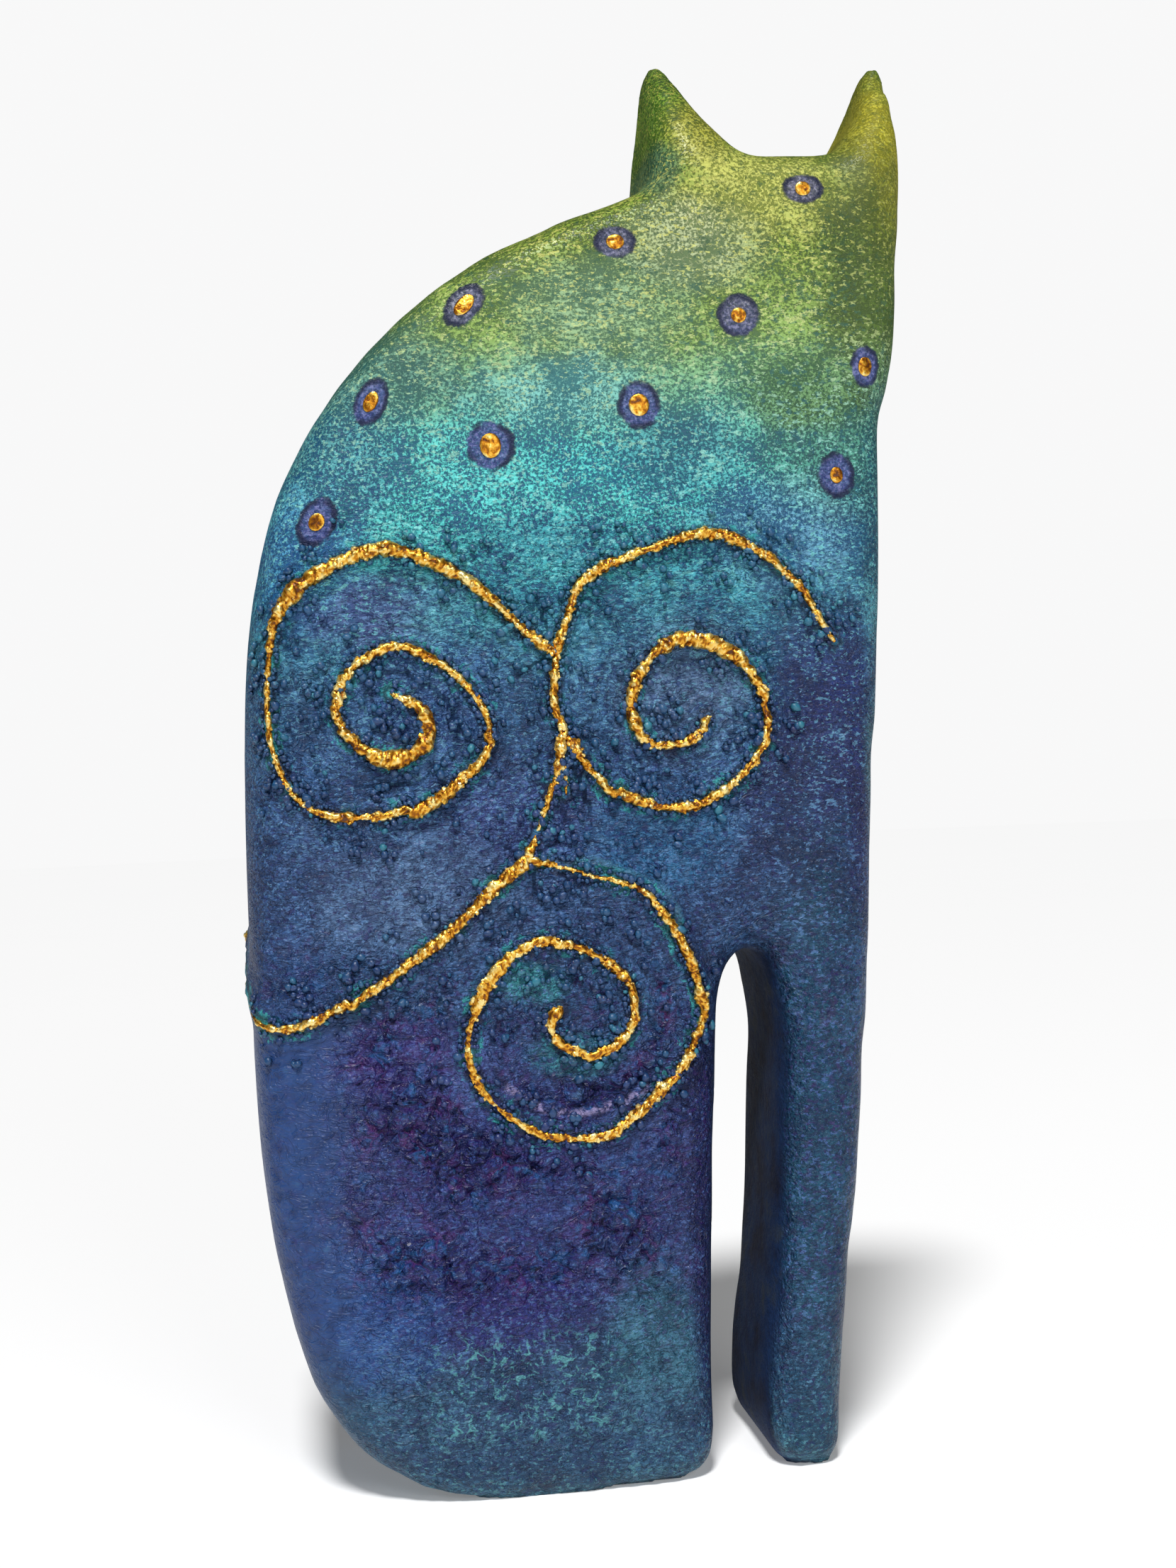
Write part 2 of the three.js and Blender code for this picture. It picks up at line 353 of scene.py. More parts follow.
class Paint:
    """The node tree of one material, with the few kinds of step that the finishes are made of."""

    def __init__(self, name: str) -> None:
        """Starts an empty tree.

        Args:
            name: Name of its material.
        """
        self.material = bpy.data.materials.new(name)
        self.material.use_nodes = True
        self.tree = self.material.node_tree
        self.tree.nodes.clear()

    def node(self, kind: str, settings: dict | None = None, sockets: dict | None = None) -> bpy.types.Node:
        """Adds a node.

        Args:
            kind: The node's type.
            settings: Its own settings, and "stops" for a ramp, which are set first.
            sockets: Values or links for its inputs, by name or number.

        Returns:
            The node.
        """
        made = self.tree.nodes.new(kind)
        for name, value in (settings or {}).items():
            if name == "stops":
                self._set_stops(made.color_ramp, value)
            else:
                setattr(made, name, value)
        for key, value in (sockets or {}).items():
            if isinstance(value, Value):
                value = value.socket
            if isinstance(value, Socket):
                self.tree.links.new(value, made.inputs[key])
            else:
                made.inputs[key].default_value = value
        return made

    @staticmethod
    def _set_stops(ramp: bpy.types.ColorRamp, stops: Sequence[Stop]) -> None:
        """Fills a ramp.

        Args:
            ramp: Ramp to fill.
            stops: Its stops, each a place from 0 to 1 and a display colour.
        """
        while len(ramp.elements) < len(stops):
            ramp.elements.new(1.0)
        for element, (place, colour) in zip(ramp.elements, stops):
            element.position = place
            element.color = linear(colour)

    def places(self) -> Socket:
        """Reads the place of a point on the object.

        Returns:
            The place in millimetres.
        """
        read = self.node("ShaderNodeTexCoord")
        sockets = {0: read.outputs["Object"], "Scale": 1 / MM}
        return self.node("ShaderNodeVectorMath", {"operation": "SCALE"}, sockets).outputs[0]

    def mapped(self, vector: Socket, scale: Triple, shift: float = 0.0) -> Socket:
        """Stretches and shifts a place, so that a pattern lies along one way or differs from another.

        Args:
            vector: Place in millimetres.
            scale: Scale of each axis.
            shift: Shift along every axis.

        Returns:
            The new place.
        """
        sockets = {"Vector": vector, "Scale": scale, "Location": (shift, shift, shift)}
        return self.node("ShaderNodeMapping", None, sockets).outputs[0]

    def split(self, vector: Socket) -> list[Value]:
        """The three parts of a vector."""
        made = self.node("ShaderNodeSeparateXYZ", None, {0: vector})
        return [Value(self, output) for output in made.outputs]

    def attribute(self, name: str) -> Value:
        """A number stored on the mesh."""
        made = self.node("ShaderNodeAttribute", {"attribute_name": name})
        return Value(self, made.outputs["Fac"])

    def clouds(
        self, vector: Socket, size: float, detail: float = 2.0, roughness: float = 0.5, warp: float = 0.0
    ) -> Value:
        """Cloudy noise from 0 to 1.

        Args:
            vector: Place in millimetres.
            size: Size of the clouds in millimetres.
            detail: Number of finer layers.
            roughness: Strength of the finer layers.
            warp: How far the pattern is distorted.

        Returns:
            The noise.
        """
        sockets = {"Vector": vector, "Scale": 1 / size, "Detail": detail}
        sockets |= {"Roughness": roughness, "Distortion": warp}
        return Value(self, self.node("ShaderNodeTexNoise", None, sockets).outputs["Fac"])

    def borders(self, vector: Socket, size: float) -> Value:
        """Distance to the nearest border in a pattern of cells.

        Args:
            vector: Place in millimetres.
            size: Size of the cells in millimetres.

        Returns:
            The distance as a share of a cell.
        """
        sockets = {"Vector": vector, "Scale": 1 / size}
        made = self.node("ShaderNodeTexVoronoi", {"feature": "DISTANCE_TO_EDGE"}, sockets)
        return Value(self, made.outputs["Distance"])

    def ramp(self, value: Value, stops: Sequence[Stop]) -> Socket:
        """A colour that changes with a number from 0 to 1."""
        return self.node("ShaderNodeValToRGB", {"stops": stops}, {0: value}).outputs["Color"]

    def blend(self, share: Value, under: Socket | tuple, over: Socket | tuple) -> Socket:
        """Lays one colour over another.

        Args:
            share: How much of the upper colour shows, from 0 to 1.
            under: Lower colour, as a link or a linear colour.
            over: Upper colour, as a link or a linear colour.

        Returns:
            The mixed colour.
        """
        settings = {"data_type": "RGBA", "clamp_factor": True}
        return self.node("ShaderNodeMix", settings, {0: share, 6: under, 7: over}).outputs[2]

    def bump(self, height: Value, depth: float) -> Socket:
        """A normal from a height.

        Args:
            height: Height from 0 to 1.
            depth: Depth of the relief in millimetres.

        Returns:
            The normal.
        """
        sockets = {"Strength": 1.0, "Distance": depth * MM, "Height": height}
        return self.node("ShaderNodeBump", None, sockets).outputs["Normal"]

    def finish(self, links: dict, plain: dict) -> Material:
        """Closes the tree with its shader.

        Args:
            links: Inputs of the shader that change over the surface.
            plain: Inputs that are the same everywhere.

        Returns:
            The material.
        """
        shader = self.node("ShaderNodeBsdfPrincipled", None, {**plain, **links})
        self.node("ShaderNodeOutputMaterial", None, {"Surface": shader.outputs[0]})
        return self.material


@dataclass(frozen=True)
class Patch:
    """A soft cloud of another colour, brushed into the paint at one place.

    Attributes:
        x: Middle of the patch across.
        z: Middle of the patch up.
        width: Half its width.
        height: Half its height.
        ground: Colour of the paint below the speckle.
        fleck: Colour of the speckle.
        strength: How much of it shows at its middle.
    """

    x: float
    z: float
    width: float
    height: float
    ground: Colour
    fleck: Colour
    strength: float


@dataclass(frozen=True)
class Glaze:
    """Sponged paint over dark ground: indigo at the haunch, turquoise at the shoulder, green at the head.

    Attributes:
        height: Height over which the colours run.
        grounds: Dark ground colours by height in millimetres.
        flecks: Colours of the fine speckle by height in millimetres.
        glints: Colours of its few lightest grains.
        shades: Colours of its few deepest grains.
        patches: Local clouds of colour.
        speckle: Size of the speckle.
        paste_top: Height where the brushed paste of the scrolls gives way to plain sponged paint.
    """

    height: float = 378.0
    grounds: tuple[Stop, ...] = (
        (0, (14, 62, 84)), (28, (14, 50, 84)), (52, (18, 34, 78)),
        (100, (16, 30, 76)), (130, (12, 38, 76)), (160, (16, 40, 80)),
        (190, (14, 46, 86)), (212, (14, 58, 98)), (234, (14, 70, 112)),
        (256, (18, 84, 122)), (280, (50, 110, 108)), (300, (78, 112, 60)),
        (325, (74, 98, 34)), (355, (64, 90, 26)), (378, (56, 82, 26)),
    )
    flecks: tuple[Stop, ...] = (
        (0, (54, 112, 136)), (28, (52, 92, 132)), (52, (56, 76, 130)),
        (100, (52, 72, 130)), (130, (52, 92, 138)), (160, (58, 92, 144)),
        (190, (62, 104, 156)), (212, (70, 124, 166)), (234, (72, 174, 190)),
        (256, (84, 212, 206)), (280, (118, 200, 172)), (300, (152, 188, 96)),
        (325, (152, 176, 70)), (355, (126, 154, 50)), (378, (112, 142, 50)),
    )
    glints: tuple[Stop, ...] = (
        (0, (92, 160, 168)), (52, (84, 122, 182)), (100, (84, 112, 180)),
        (160, (94, 140, 192)), (212, (112, 178, 204)), (234, (118, 212, 216)),
        (256, (142, 228, 224)), (280, (168, 222, 190)), (300, (208, 226, 146)),
        (325, (226, 228, 122)), (378, (200, 200, 84)),
    )
    shades: tuple[Stop, ...] = (
        (0, (20, 40, 100)), (52, (60, 26, 104)), (100, (62, 24, 108)),
        (160, (42, 36, 104)), (212, (28, 54, 120)), (234, (20, 84, 130)),
        (256, (24, 96, 126)), (280, (38, 104, 118)), (300, (50, 108, 100)),
        (325, (32, 84, 52)), (378, (44, 88, 30)),
    )
    patches: tuple[Patch, ...] = (
        Patch(62, 178, 26, 48, (8, 12, 60), (34, 38, 98), 0.88),
        Patch(66, 236, 26, 26, (22, 66, 100), (74, 132, 164), 0.75),
        Patch(51, 246, 24, 16, (26, 88, 132), (108, 170, 206), 0.8),
        Patch(68, 268, 24, 20, (40, 82, 66), (84, 128, 98), 0.6),
        Patch(60, 284, 22, 12, (54, 92, 40), (118, 156, 84), 0.7),
        Patch(-18, 264, 58, 18, (26, 98, 134), (100, 232, 228), 0.75),
        Patch(-10, 246, 22, 8, (14, 62, 108), (60, 158, 178), 0.65),
        Patch(4, 263, 18, 8, (18, 108, 140), (92, 230, 230), 0.6),
        Patch(-66, 266, 22, 22, (22, 74, 116), (84, 150, 172), 0.65),
        Patch(-74, 240, 20, 24, (22, 84, 142), (86, 156, 210), 0.8),
        Patch(-55, 228, 24, 13, (46, 52, 112), (104, 118, 180), 0.7),
        Patch(-32, 226, 18, 7, (22, 86, 124), (88, 184, 196), 0.7),
        Patch(-30, 76, 46, 32, (24, 26, 92), (54, 68, 140), 0.65),
        Patch(-52, 113, 26, 13, (46, 42, 112), (88, 94, 170), 0.75),
        Patch(-34, 49, 30, 13, (20, 16, 84), (42, 42, 124), 0.75),
        Patch(-19, 132, 10, 6, (20, 100, 122), (86, 194, 194), 0.7),
        Patch(-9, 113, 13, 7, (14, 84, 110), (76, 176, 180), 0.65),
        Patch(2, 74, 18, 24, (24, 40, 94), (62, 94, 152), 0.6),
        Patch(8, 34, 14, 28, (18, 74, 96), (66, 128, 150), 0.75),
        Patch(-16, 14, 60, 14, (14, 40, 84), (50, 86, 126), 0.62),
        Patch(-62, 50, 18, 20, (12, 52, 120), (56, 104, 170), 0.8),
        Patch(-84, 90, 18, 70, (28, 60, 112), (44, 78, 136), 0.9),
        Patch(24, 75, 6, 80, (6, 14, 62), (26, 38, 98), 0.9),
        Patch(56, 80, 20, 110, (0, 42, 76), (22, 84, 106), 0.86),
        Patch(80, 190, 8, 110, (20, 76, 96), (92, 168, 172), 0.6),
        Patch(84, 346, 13, 34, (138, 134, 18), (234, 220, 72), 0.8),
        Patch(20, 356, 14, 18, (70, 112, 26), (132, 178, 54), 0.65),
        Patch(35, 353, 10, 12, (112, 120, 34), (196, 190, 78), 0.75),
        Patch(24, 343, 7, 9, (40, 84, 80), (86, 132, 122), 0.6),
        Patch(75, 341, 7, 6, (84, 112, 84), (156, 174, 134), 0.5),
        # These two patches are partly the head's own pale speckle and partly painted sheen, a painted
        # highlight.
        Patch(54, 336, 30, 15, (142, 154, 54), (230, 230, 122), 0.75),
        Patch(30, 322, 24, 14, (110, 136, 92), (212, 222, 184), 0.6),
        Patch(78, 316, 18, 40, (54, 76, 28), (88, 112, 46), 0.88),
        Patch(6, 306, 30, 18, (80, 124, 100), (160, 202, 168), 0.65),
        Patch(-4, 284, 30, 12, (44, 120, 130), (134, 214, 212), 0.75),
        Patch(-48, 290, 20, 16, (40, 92, 94), (102, 158, 158), 0.6),
        Patch(24, 268, 22, 12, (14, 80, 104), (70, 146, 168), 0.6),
        Patch(-46, 206, 26, 18, (22, 54, 108), (76, 112, 172), 0.6),
        Patch(24, 206, 22, 20, (44, 70, 108), (106, 134, 172), 0.7),
        Patch(64, 210, 18, 18, (8, 18, 70), (36, 52, 116), 0.75),
        Patch(-22, 176, 20, 16, (26, 34, 90), (66, 86, 150), 0.6),
        Patch(17, 166, 22, 16, (4, 52, 102), (46, 116, 162), 0.75),
        Patch(-50, 156, 28, 18, (46, 68, 114), (108, 144, 186), 0.7),
    )
    speckle: float = 0.8
    paste_top: float = 250.0

    def _tone(self, stops: tuple[Stop, ...]) -> list[Stop]:
        """Stops with their heights as shares of the whole height."""
        return [(height / self.height, colour) for height, colour in stops]

    def layers(self, paint: Paint, place: Socket) -> tuple[Socket, Value]:
        """Ground colour, patches and speckle.

        Args:
            paint: Tree to work in.
            place: Place in millimetres.

        Returns:
            The colour, and the speckle's own mask.
        """
        x, _, z = paint.split(place)
        drift = paint.clouds(place, 58, 3.0, 0.55, 0.6) - 0.5
        mottle = paint.clouds(place, 9, 3.0, 0.6) - 0.5
        even = 1 - z.rise(245, 275) * 0.5
        level = (z + (drift * 28 + mottle * 15) * even) / self.height
        ground = paint.ramp(level, self._tone(self.grounds))
        fleck = paint.ramp(level, self._tone(self.flecks))
        for patch in self.patches:
            across = (x - patch.x) / patch.width
            up = (z - patch.z) / patch.height
            reach = across * across + up * up + mottle * 1.2 + drift * 1.0
            share = reach.rise(1.25, 0.05) * patch.strength
            ground = paint.blend(share, ground, linear(patch.ground))
            fleck = paint.blend(share, fleck, linear(patch.fleck))
        lying = z.rise(256, 234) * 0.6 + z.rise(276, 292) * z.rise(335, 312) * 0.45
        grain = paint.clouds(place, self.speckle, 3.0, 0.7)
        strands = paint.clouds(paint.mapped(place, (0.45, 1.0, 1.0)), self.speckle, 2.0, 0.65, 0.8)
        grain = grain * (1 - lying) + strands * lying
        cover = paint.clouds(place, 14, 2.0, 0.5)
        speckle = (grain + (cover - 0.5) * 0.3).rise(0.43, 0.57)
        calm = 1 - z.rise(self.paste_top, 222) * 0.2 - x.rise(64, 80) * z.rise(286, 302) * 0.4
        rubbed = 1 - x.rise(-54, -80) * z.rise(134, 120) * 0.8
        colour = paint.blend((speckle - 0.5) * calm * rubbed + 0.5, ground, fleck)
        deep = paint.clouds(paint.mapped(place, (0.7, 1.0, 1.0), 57), 1.5, 2.0, 0.65).rise(0.55, 0.63)
        shades = paint.ramp(level, self._tone(self.shades))
        colour = paint.blend(deep * calm * rubbed * 0.55, colour, shades)
        spark = paint.clouds(paint.mapped(place, (0.6, 1.0, 1.0), 31), 0.95, 2.0, 0.7)
        spark = (spark + (cover - 0.5) * 0.2).rise(0.57, 0.63) * calm * rubbed
        colour = paint.blend(spark * 0.75, colour, paint.ramp(level, self._tone(self.glints)))
        return colour, speckle * rubbed


@dataclass(frozen=True)
class CastingFinish:
    """The paint of the whole casting, with its rims of paste, its dots and its wrinkles.

    Attributes:
        glaze: Sponged paint below everything else.
        roughness: Middle roughness of the paint.
        depth: Depth of the fine relief in millimetres.
        hollow_shade: Painted shade in the hollows of the paste.
        crest_tone_and_light: Painted highlight on the crests of the paste.
        island: Blue islands between the wrinkles of the haunch.
        crackle: Teal crackle near the base.
        shadow: Painted shadow along the foot of each bead.
        lavender: Paint on the ridge under the haunch's scroll.
        foam: Paint on the ridge over it.
        rings: Dark rings round some of the dots.
    """

    glaze: Glaze = Glaze()
    roughness: float = 0.43
    depth: float = 0.85
    hollow_shade: Colour = (6, 18, 56)
    crest_tone_and_light: Colour = (92, 150, 190)
    island: Colour = (40, 104, 166)
    crackle: Colour = (98, 176, 182)
    shadow: Colour = (6, 16, 48)
    lavender: Colour = (164, 154, 202)
    foam: Colour = (84, 146, 172)
    rings: Colour = (14, 24, 62)

    def material(self) -> Material:
        """Makes the material.

        Returns:
            The material for the casting.
        """
        paint = Paint("sponged_glaze")
        place = paint.places()
        colour, speckle = self.glaze.layers(paint, place)
        fine = paint.clouds(place, 2.6, 3.0, 0.6)
        furrow = paint.attribute("furrow")
        arch = paint.attribute("arch")

        relief = paint.attribute("relief")
        # Painted shade darkens the hollows of the paste, and painted highlight lightens its crests.
        colour = paint.blend((0.5 - relief).rise(0.3, 1.1) * 0.5, colour, linear(self.hollow_shade))
        crest_tone_and_light = relief.rise(0.2, 1.0) * fine.rise(0.4, 0.62)
        colour = paint.blend(crest_tone_and_light * 0.35, colour, linear(self.crest_tone_and_light))
        colour, crumple = self._wrinkles(paint, place, colour, fine, furrow)
        colour = self._rims(paint, place, colour, fine)
        colour = self._dots(paint, place, colour)
        # Inside the arch the paint turns near-black and navy as painted shade, with some grey-brown bare
        # patches.
        arch_shade_and_stain = paint.clouds(place, 12, 3.0, 0.6)
        inner = paint.ramp(arch_shade_and_stain, [(0.35, (0, 16, 50)), (0.58, (0, 42, 88)), (0.74, (50, 60, 70))])
        dull = arch * 0.4 - furrow * 0.08
        links = {
            "Base Color": paint.blend(arch, colour, inner),
            "Roughness": self.roughness + (fine - 0.5) * 0.2 - speckle * 0.05 + dull,
            "Normal": paint.bump(self._height(paint, place, speckle, crumple, arch), self.depth),
        }
        return paint.finish(links, {"IOR": 1.5, "Specular IOR Level": 0.36})

    def _wrinkles(
        self, paint: Paint, place: Socket, colour: Socket, fine: Value, furrow: Value
    ) -> tuple[Socket, Value]:
        """Paints the violet wrinkles of the haunch and the teal crackle near the base.

        Args:
            paint: Tree to work in.
            place: Place in millimetres.
            colour: Colour below.
            fine: Fine noise that breaks the seams.
            furrow: How wrinkled the casting is.

        Returns:
            The colour with both on it, and the height of the islands between the wrinkles.
        """
        wander = paint.node("ShaderNodeTexNoise", None, {"Vector": place, "Scale": 1 / 6.0, "Detail": 3.0})
        sockets = {0: wander.outputs["Color"], 1: (9.0, 9.0, 9.0), 2: place}
        pushed = paint.node("ShaderNodeVectorMath", {"operation": "MULTIPLY_ADD"}, sockets).outputs[0]
        border = paint.borders(pushed, 4.6)
        seam = border.rise(0.17, 0.02) * furrow * fine.rise(0.3, 0.5)
        rosy = paint.clouds(place, 11, 2.0, 0.6)
        violet = paint.ramp(rosy, [(0.42, (22, 14, 78)), (0.52, (50, 16, 88)), (0.66, (92, 22, 100))])
        blotch = paint.clouds(place, 3.2, 2.0, 0.6, 0.6).rise(0.5, 0.6) * furrow
        colour = paint.blend(blotch * 0.35, colour, violet)
        colour = paint.blend(seam * 0.66, colour, violet)
        island = paint.clouds(place, 4.4, 2.0, 0.6, 0.5).rise(0.55, 0.64) * (1 - seam) * furrow
        colour = paint.blend(island * 0.6, colour, linear(self.island))

        x, _, z = paint.split(place)
        low = z.rise(12, 20) * z.rise(46, 38) * x.rise(-54, -44) * x.rise(6, -8)
        web = paint.borders(pushed, 2.8).rise(0.18, 0.04)
        splash = web * paint.clouds(place, 3.4, 3.0, 0.7, 0.6).rise(0.5, 0.6)
        colour = paint.blend(splash * low * 0.7, colour, linear(self.crackle))
        return colour, border.rise(0.0, 0.3) * furrow

    def _rims(self, paint: Paint, place: Socket, colour: Socket, fine: Value) -> Socket:
        """Paints the teal rim of each bead, painted shadow along its foot, and the two painted ridges.

        Args:
            paint: Tree to work in.
            place: Place in millimetres.
            colour: Colour below.
            fine: Fine noise that frays the edges.

        Returns:
            The colour with the rims on it.
        """
        line = paint.attribute("line_distance")
        patchy = paint.clouds(place, 7, 2.0, 0.6)
        stops = [(0.35, (16, 44, 100)), (0.48, (24, 104, 140)), (0.62, (60, 178, 178))]
        crumbly = paint.clouds(place, 1.2, 2.0, 0.6)
        rim = (line + (fine - 0.5) * 5.0 + (crumbly - 0.5) * 6.0).rise(3.4, 2.4) * patchy.rise(0.4, 0.6)
        colour = paint.blend(rim * 0.75, colour, paint.ramp(patchy, stops))
        # Painted shadow: a dark band along the foot of each bead, where it meets the surface.
        foot = line.rise(0.6, 1.4) * (line + (crumbly - 0.5) * 3.0).rise(3.0, 1.7)
        colour = paint.blend(foot * 0.75, colour, linear(self.shadow))
        broken = (fine + crumbly).rise(0.86, 1.12)
        for name, strength, wash in (("lavender", 0.8, self.lavender), ("foam", 0.4, self.foam)):
            laid = paint.attribute(name).rise(0.1, 0.9) * broken
            colour = paint.blend(laid * strength, colour, linear(wash))
        return colour

    @staticmethod
    def _height(paint: Paint, place: Socket, speckle: Value, crumple: Value, arch: Value) -> Value:
        """The fine relief: brushed strokes, lumps of paste and small ridges.

        Args:
            paint: Tree to work in.
            place: Place in millimetres.
            speckle: The speckle's own mask.
            crumple: Height of the islands between the wrinkles.
            arch: How far inside the arch a point is.

        Returns:
            The height.
        """
        x, _, z = paint.split(place)
        line = paint.attribute("line_distance")
        brushed = paint.clouds(paint.mapped(place, (0.35, 1.0, 1.0)), 1.25, 2.0, 0.65, 0.9)
        pressed = paint.clouds(place, 1.9, 3.0, 0.65, 0.5)
        lower = z.rise(150, 128) * x.rise(-66, -34)
        across = brushed * (1 - lower) + pressed * lower
        curve = paint.node("ShaderNodeCombineXYZ", None, {0: paint.attribute("line_along") / 3.0, 1: line})
        round_line = paint.clouds(curve.outputs[0], 1.2, 2.0, 0.6, 0.6)
        follow = line.rise(9, 5) * 0.7
        strokes = across * (1 - follow) + round_line * follow
        height = speckle * 0.22 + strokes * (z.rise(285, 235) * 1.5 + 0.15) * (1 - arch)
        height = height + paint.clouds(place, 2.4, 2.0, 0.6) * z.rise(262, 225) * 0.8 + crumple * 1.7
        bend = paint.clouds(paint.mapped(place, (0.45, 1.0, 0.9), 13), 3.4, 2.0, 0.6, 1.0) - 0.5
        ridged = z.rise(255, 235) * x.rise(52, 44) * (1 - arch)
        height = height + (bend * bend).rise(0.004, 0.0) * ridged * 0.6
        return height * (1 - x.rise(-56, -80) * z.rise(134, 120) * 0.65)

    def _dots(self, paint: Paint, place: Socket, colour: Socket) -> Socket:
        """Paints the blue-violet patches under the gilded dots.

        Args:
            paint: Tree to work in.
            place: Place in millimetres.
            colour: Colour below.

        Returns:
            The colour with the patches on it.
        """
        reach = paint.attribute("dot_reach")
        ragged = paint.clouds(place, 2.2, 3.0, 0.6) - 0.5
        streak = paint.clouds(place, 0.9, 2.0, 0.6)
        edge = reach + ragged * 0.34
        body = paint.ramp(streak, [(0.34, (40, 46, 84)), (0.5, (78, 80, 118)), (0.64, (140, 138, 168))])
        _, _, z = paint.split(place)
        colder = paint.ramp(streak, [(0.34, (34, 42, 104)), (0.5, (66, 78, 142)), (0.64, (120, 122, 182))])
        body = paint.blend(z.rise(306, 290), body, colder)
        colour = paint.blend(edge.rise(1.08, 0.92) * 0.9, colour, body)
        worn = paint.clouds(place, 7, 1.0, 0.5).rise(0.36, 0.54)
        ring = edge.rise(0.7, 0.92) * edge.rise(1.16, 1.04) * worn
        return paint.blend(ring * 0.9, colour, linear(self.rings))


@dataclass(frozen=True)
class GiltFinish:
    """Gold rubbed over crusty paste: brown in its cracks, partly painted shade, and cream on crests as
    painted highlight.

    Attributes:
        roughness: Middle roughness of the gold.
        stops: Its colours from the hollows to the crests.
    """

    roughness: float = 0.34
    stops: tuple[Stop, ...] = (
        (0.05, (92, 48, 12)), (0.26, (156, 92, 20)), (0.46, (212, 142, 32)),
        (0.68, (244, 192, 76)), (0.94, (255, 230, 150)),
    )

    def material(self) -> Material:
        """Makes the material.

        Returns:
            The material for the gilded beads.
        """
        paint = Paint("rubbed_gilding")
        place = paint.places()
        crest_tone_and_light = paint.attribute("crest_tone_and_light")
        wear = paint.clouds(place, 5.0, 3.0, 0.65) - 0.5
        grain = paint.clouds(place, 0.6, 2.0, 0.6)
        # The crest value makes the gold cream on high lumps as painted highlight, and brown in the cracks,
        # partly as painted shade.
        tone = crest_tone_and_light + wear * 1.2 + (grain - 0.5) * 0.5
        links = {
            "Base Color": paint.ramp(tone, self.stops),
            "Metallic": tone.rise(-0.2, 0.3) * 0.8,
            "Roughness": self.roughness + (grain - 0.5) * 0.2,
            "Normal": paint.bump(grain, 0.14),
        }
        return paint.finish(links, {"IOR": 1.5})


@dataclass(frozen=True)
class GritFinish:
    """The nodules of paste that fell beside the beads, in the glaze's colours and teal.

    Attributes:
        glaze: Sponged paint of the casting below them.
        stops: Their own colours, from the darkest nodule to the palest.
        shadow: Painted shadow darkening the base of each.
    """

    glaze: Glaze = Glaze()
    stops: tuple[Stop, ...] = (
        (0.0, (12, 26, 64)), (0.5, (24, 54, 100)), (0.9, (32, 84, 124)),
        (1.0, (52, 132, 150)),
    )
    shadow: Colour = (4, 12, 38)

    def material(self) -> Material:
        """Makes the material.

        Returns:
            The material for the grit.
        """
        paint = Paint("glazed_grit")
        place = paint.places()
        colour, _ = self.glaze.layers(paint, place)
        tint = paint.attribute("tint")
        body = paint.blend(tint.rise(-0.6, 0.8) * 0.8, colour, paint.ramp(tint, self.stops))
        grain = paint.clouds(place, 0.7, 2.0, 0.6)
        links = {
            # Painted shadow: each nodule is darkened towards its base, where it meets the surface.
            "Base Color": paint.blend(paint.attribute("foot") * 0.9, body, linear(self.shadow)),
            "Roughness": 0.42 + (grain - 0.5) * 0.1,
            "Normal": paint.bump(grain, 0.1),
        }
        return paint.finish(links, {"IOR": 1.5})


@dataclass(frozen=True)
class FloorFinish:
    """Plain pale paper under the cat, lit a little from below as on a photographer's table.

    Attributes:
        colour: Colour of the paper.
        cloud: Colour of its faint clouds.
        glow: Light that comes through it.
    """

    colour: Colour = (250, 250, 250)
    cloud: Colour = (246, 246, 247)
    glow: float = 0.19

    def material(self) -> Material:
        """Makes the material.

        Returns:
            The material for the floor.
        """
        paint = Paint("pale_paper")
        place = paint.places()
        soft = paint.clouds(place, 300, 1.0, 0.5)
        colour = paint.blend(soft * 0.2, linear(self.colour), linear(self.cloud))
        plain = {"Roughness": 0.9, "Specular IOR Level": 0.2}
        plain |= {"Emission Color": (1.0, 1.0, 1.0, 1.0), "Emission Strength": self.glow}
        return paint.finish({"Base Color": colour}, plain)


@dataclass(frozen=True)
class Dot:
    """One painted dot with a dab of gold in its middle.

    Attributes:
        x: Place across.
        z: Place up.
        patch: Width and height of the painted patch.
        dab: Width and height of the gold.
        tilt: Turn of both in degrees, anticlockwise as the near face is seen.
        side: Face that it is on.
    """

    x: float
    z: float
    patch: tuple[float, float]
    dab: tuple[float, float]
    tilt: float = 0.0
    side: Side = Side.NEAR


DOTS = (
    Dot(61.6, 336.7, (10.4, 7.6), (3.8, 3.5)),
    Dot(10.9, 323.0, (10.4, 8.2), (4.3, 3.6)),
    Dot(-29.2, 307.1, (12.6, 7.8), (6.2, 3.6), 48),
    Dot(42.6, 303.2, (10.6, 10.8), (3.7, 3.6)),
    Dot(76.5, 289.5, (7.6, 10.4), (3.6, 4.6)),
    Dot(-54.2, 282.5, (12.4, 7.6), (5.2, 3.2), 62),
    Dot(15.1, 280.2, (10.8, 11.4), (4.9, 5.3)),
    Dot(-24.1, 270.4, (12.0, 12.2), (5.0, 5.9)),
    Dot(67.3, 260.9, (9.4, 11.2), (3.2, 3.9)),
    Dot(-69.3, 252.0, (12.6, 8.8), (4.3, 3.6), 60),
    Dot(56.0, 268.0, (10.6, 10.4), (4.0, 4.2), 0, Side.FAR),
    Dot(14.0, 286.0, (10.4, 10.8), (4.2, 4.0), 0, Side.FAR),
    Dot(-27.0, 262.0, (11.0, 10.0), (4.4, 4.0), 0, Side.FAR),
    Dot(-58.0, 240.0, (10.4, 10.8), (4.0, 4.2), 0, Side.FAR),
)


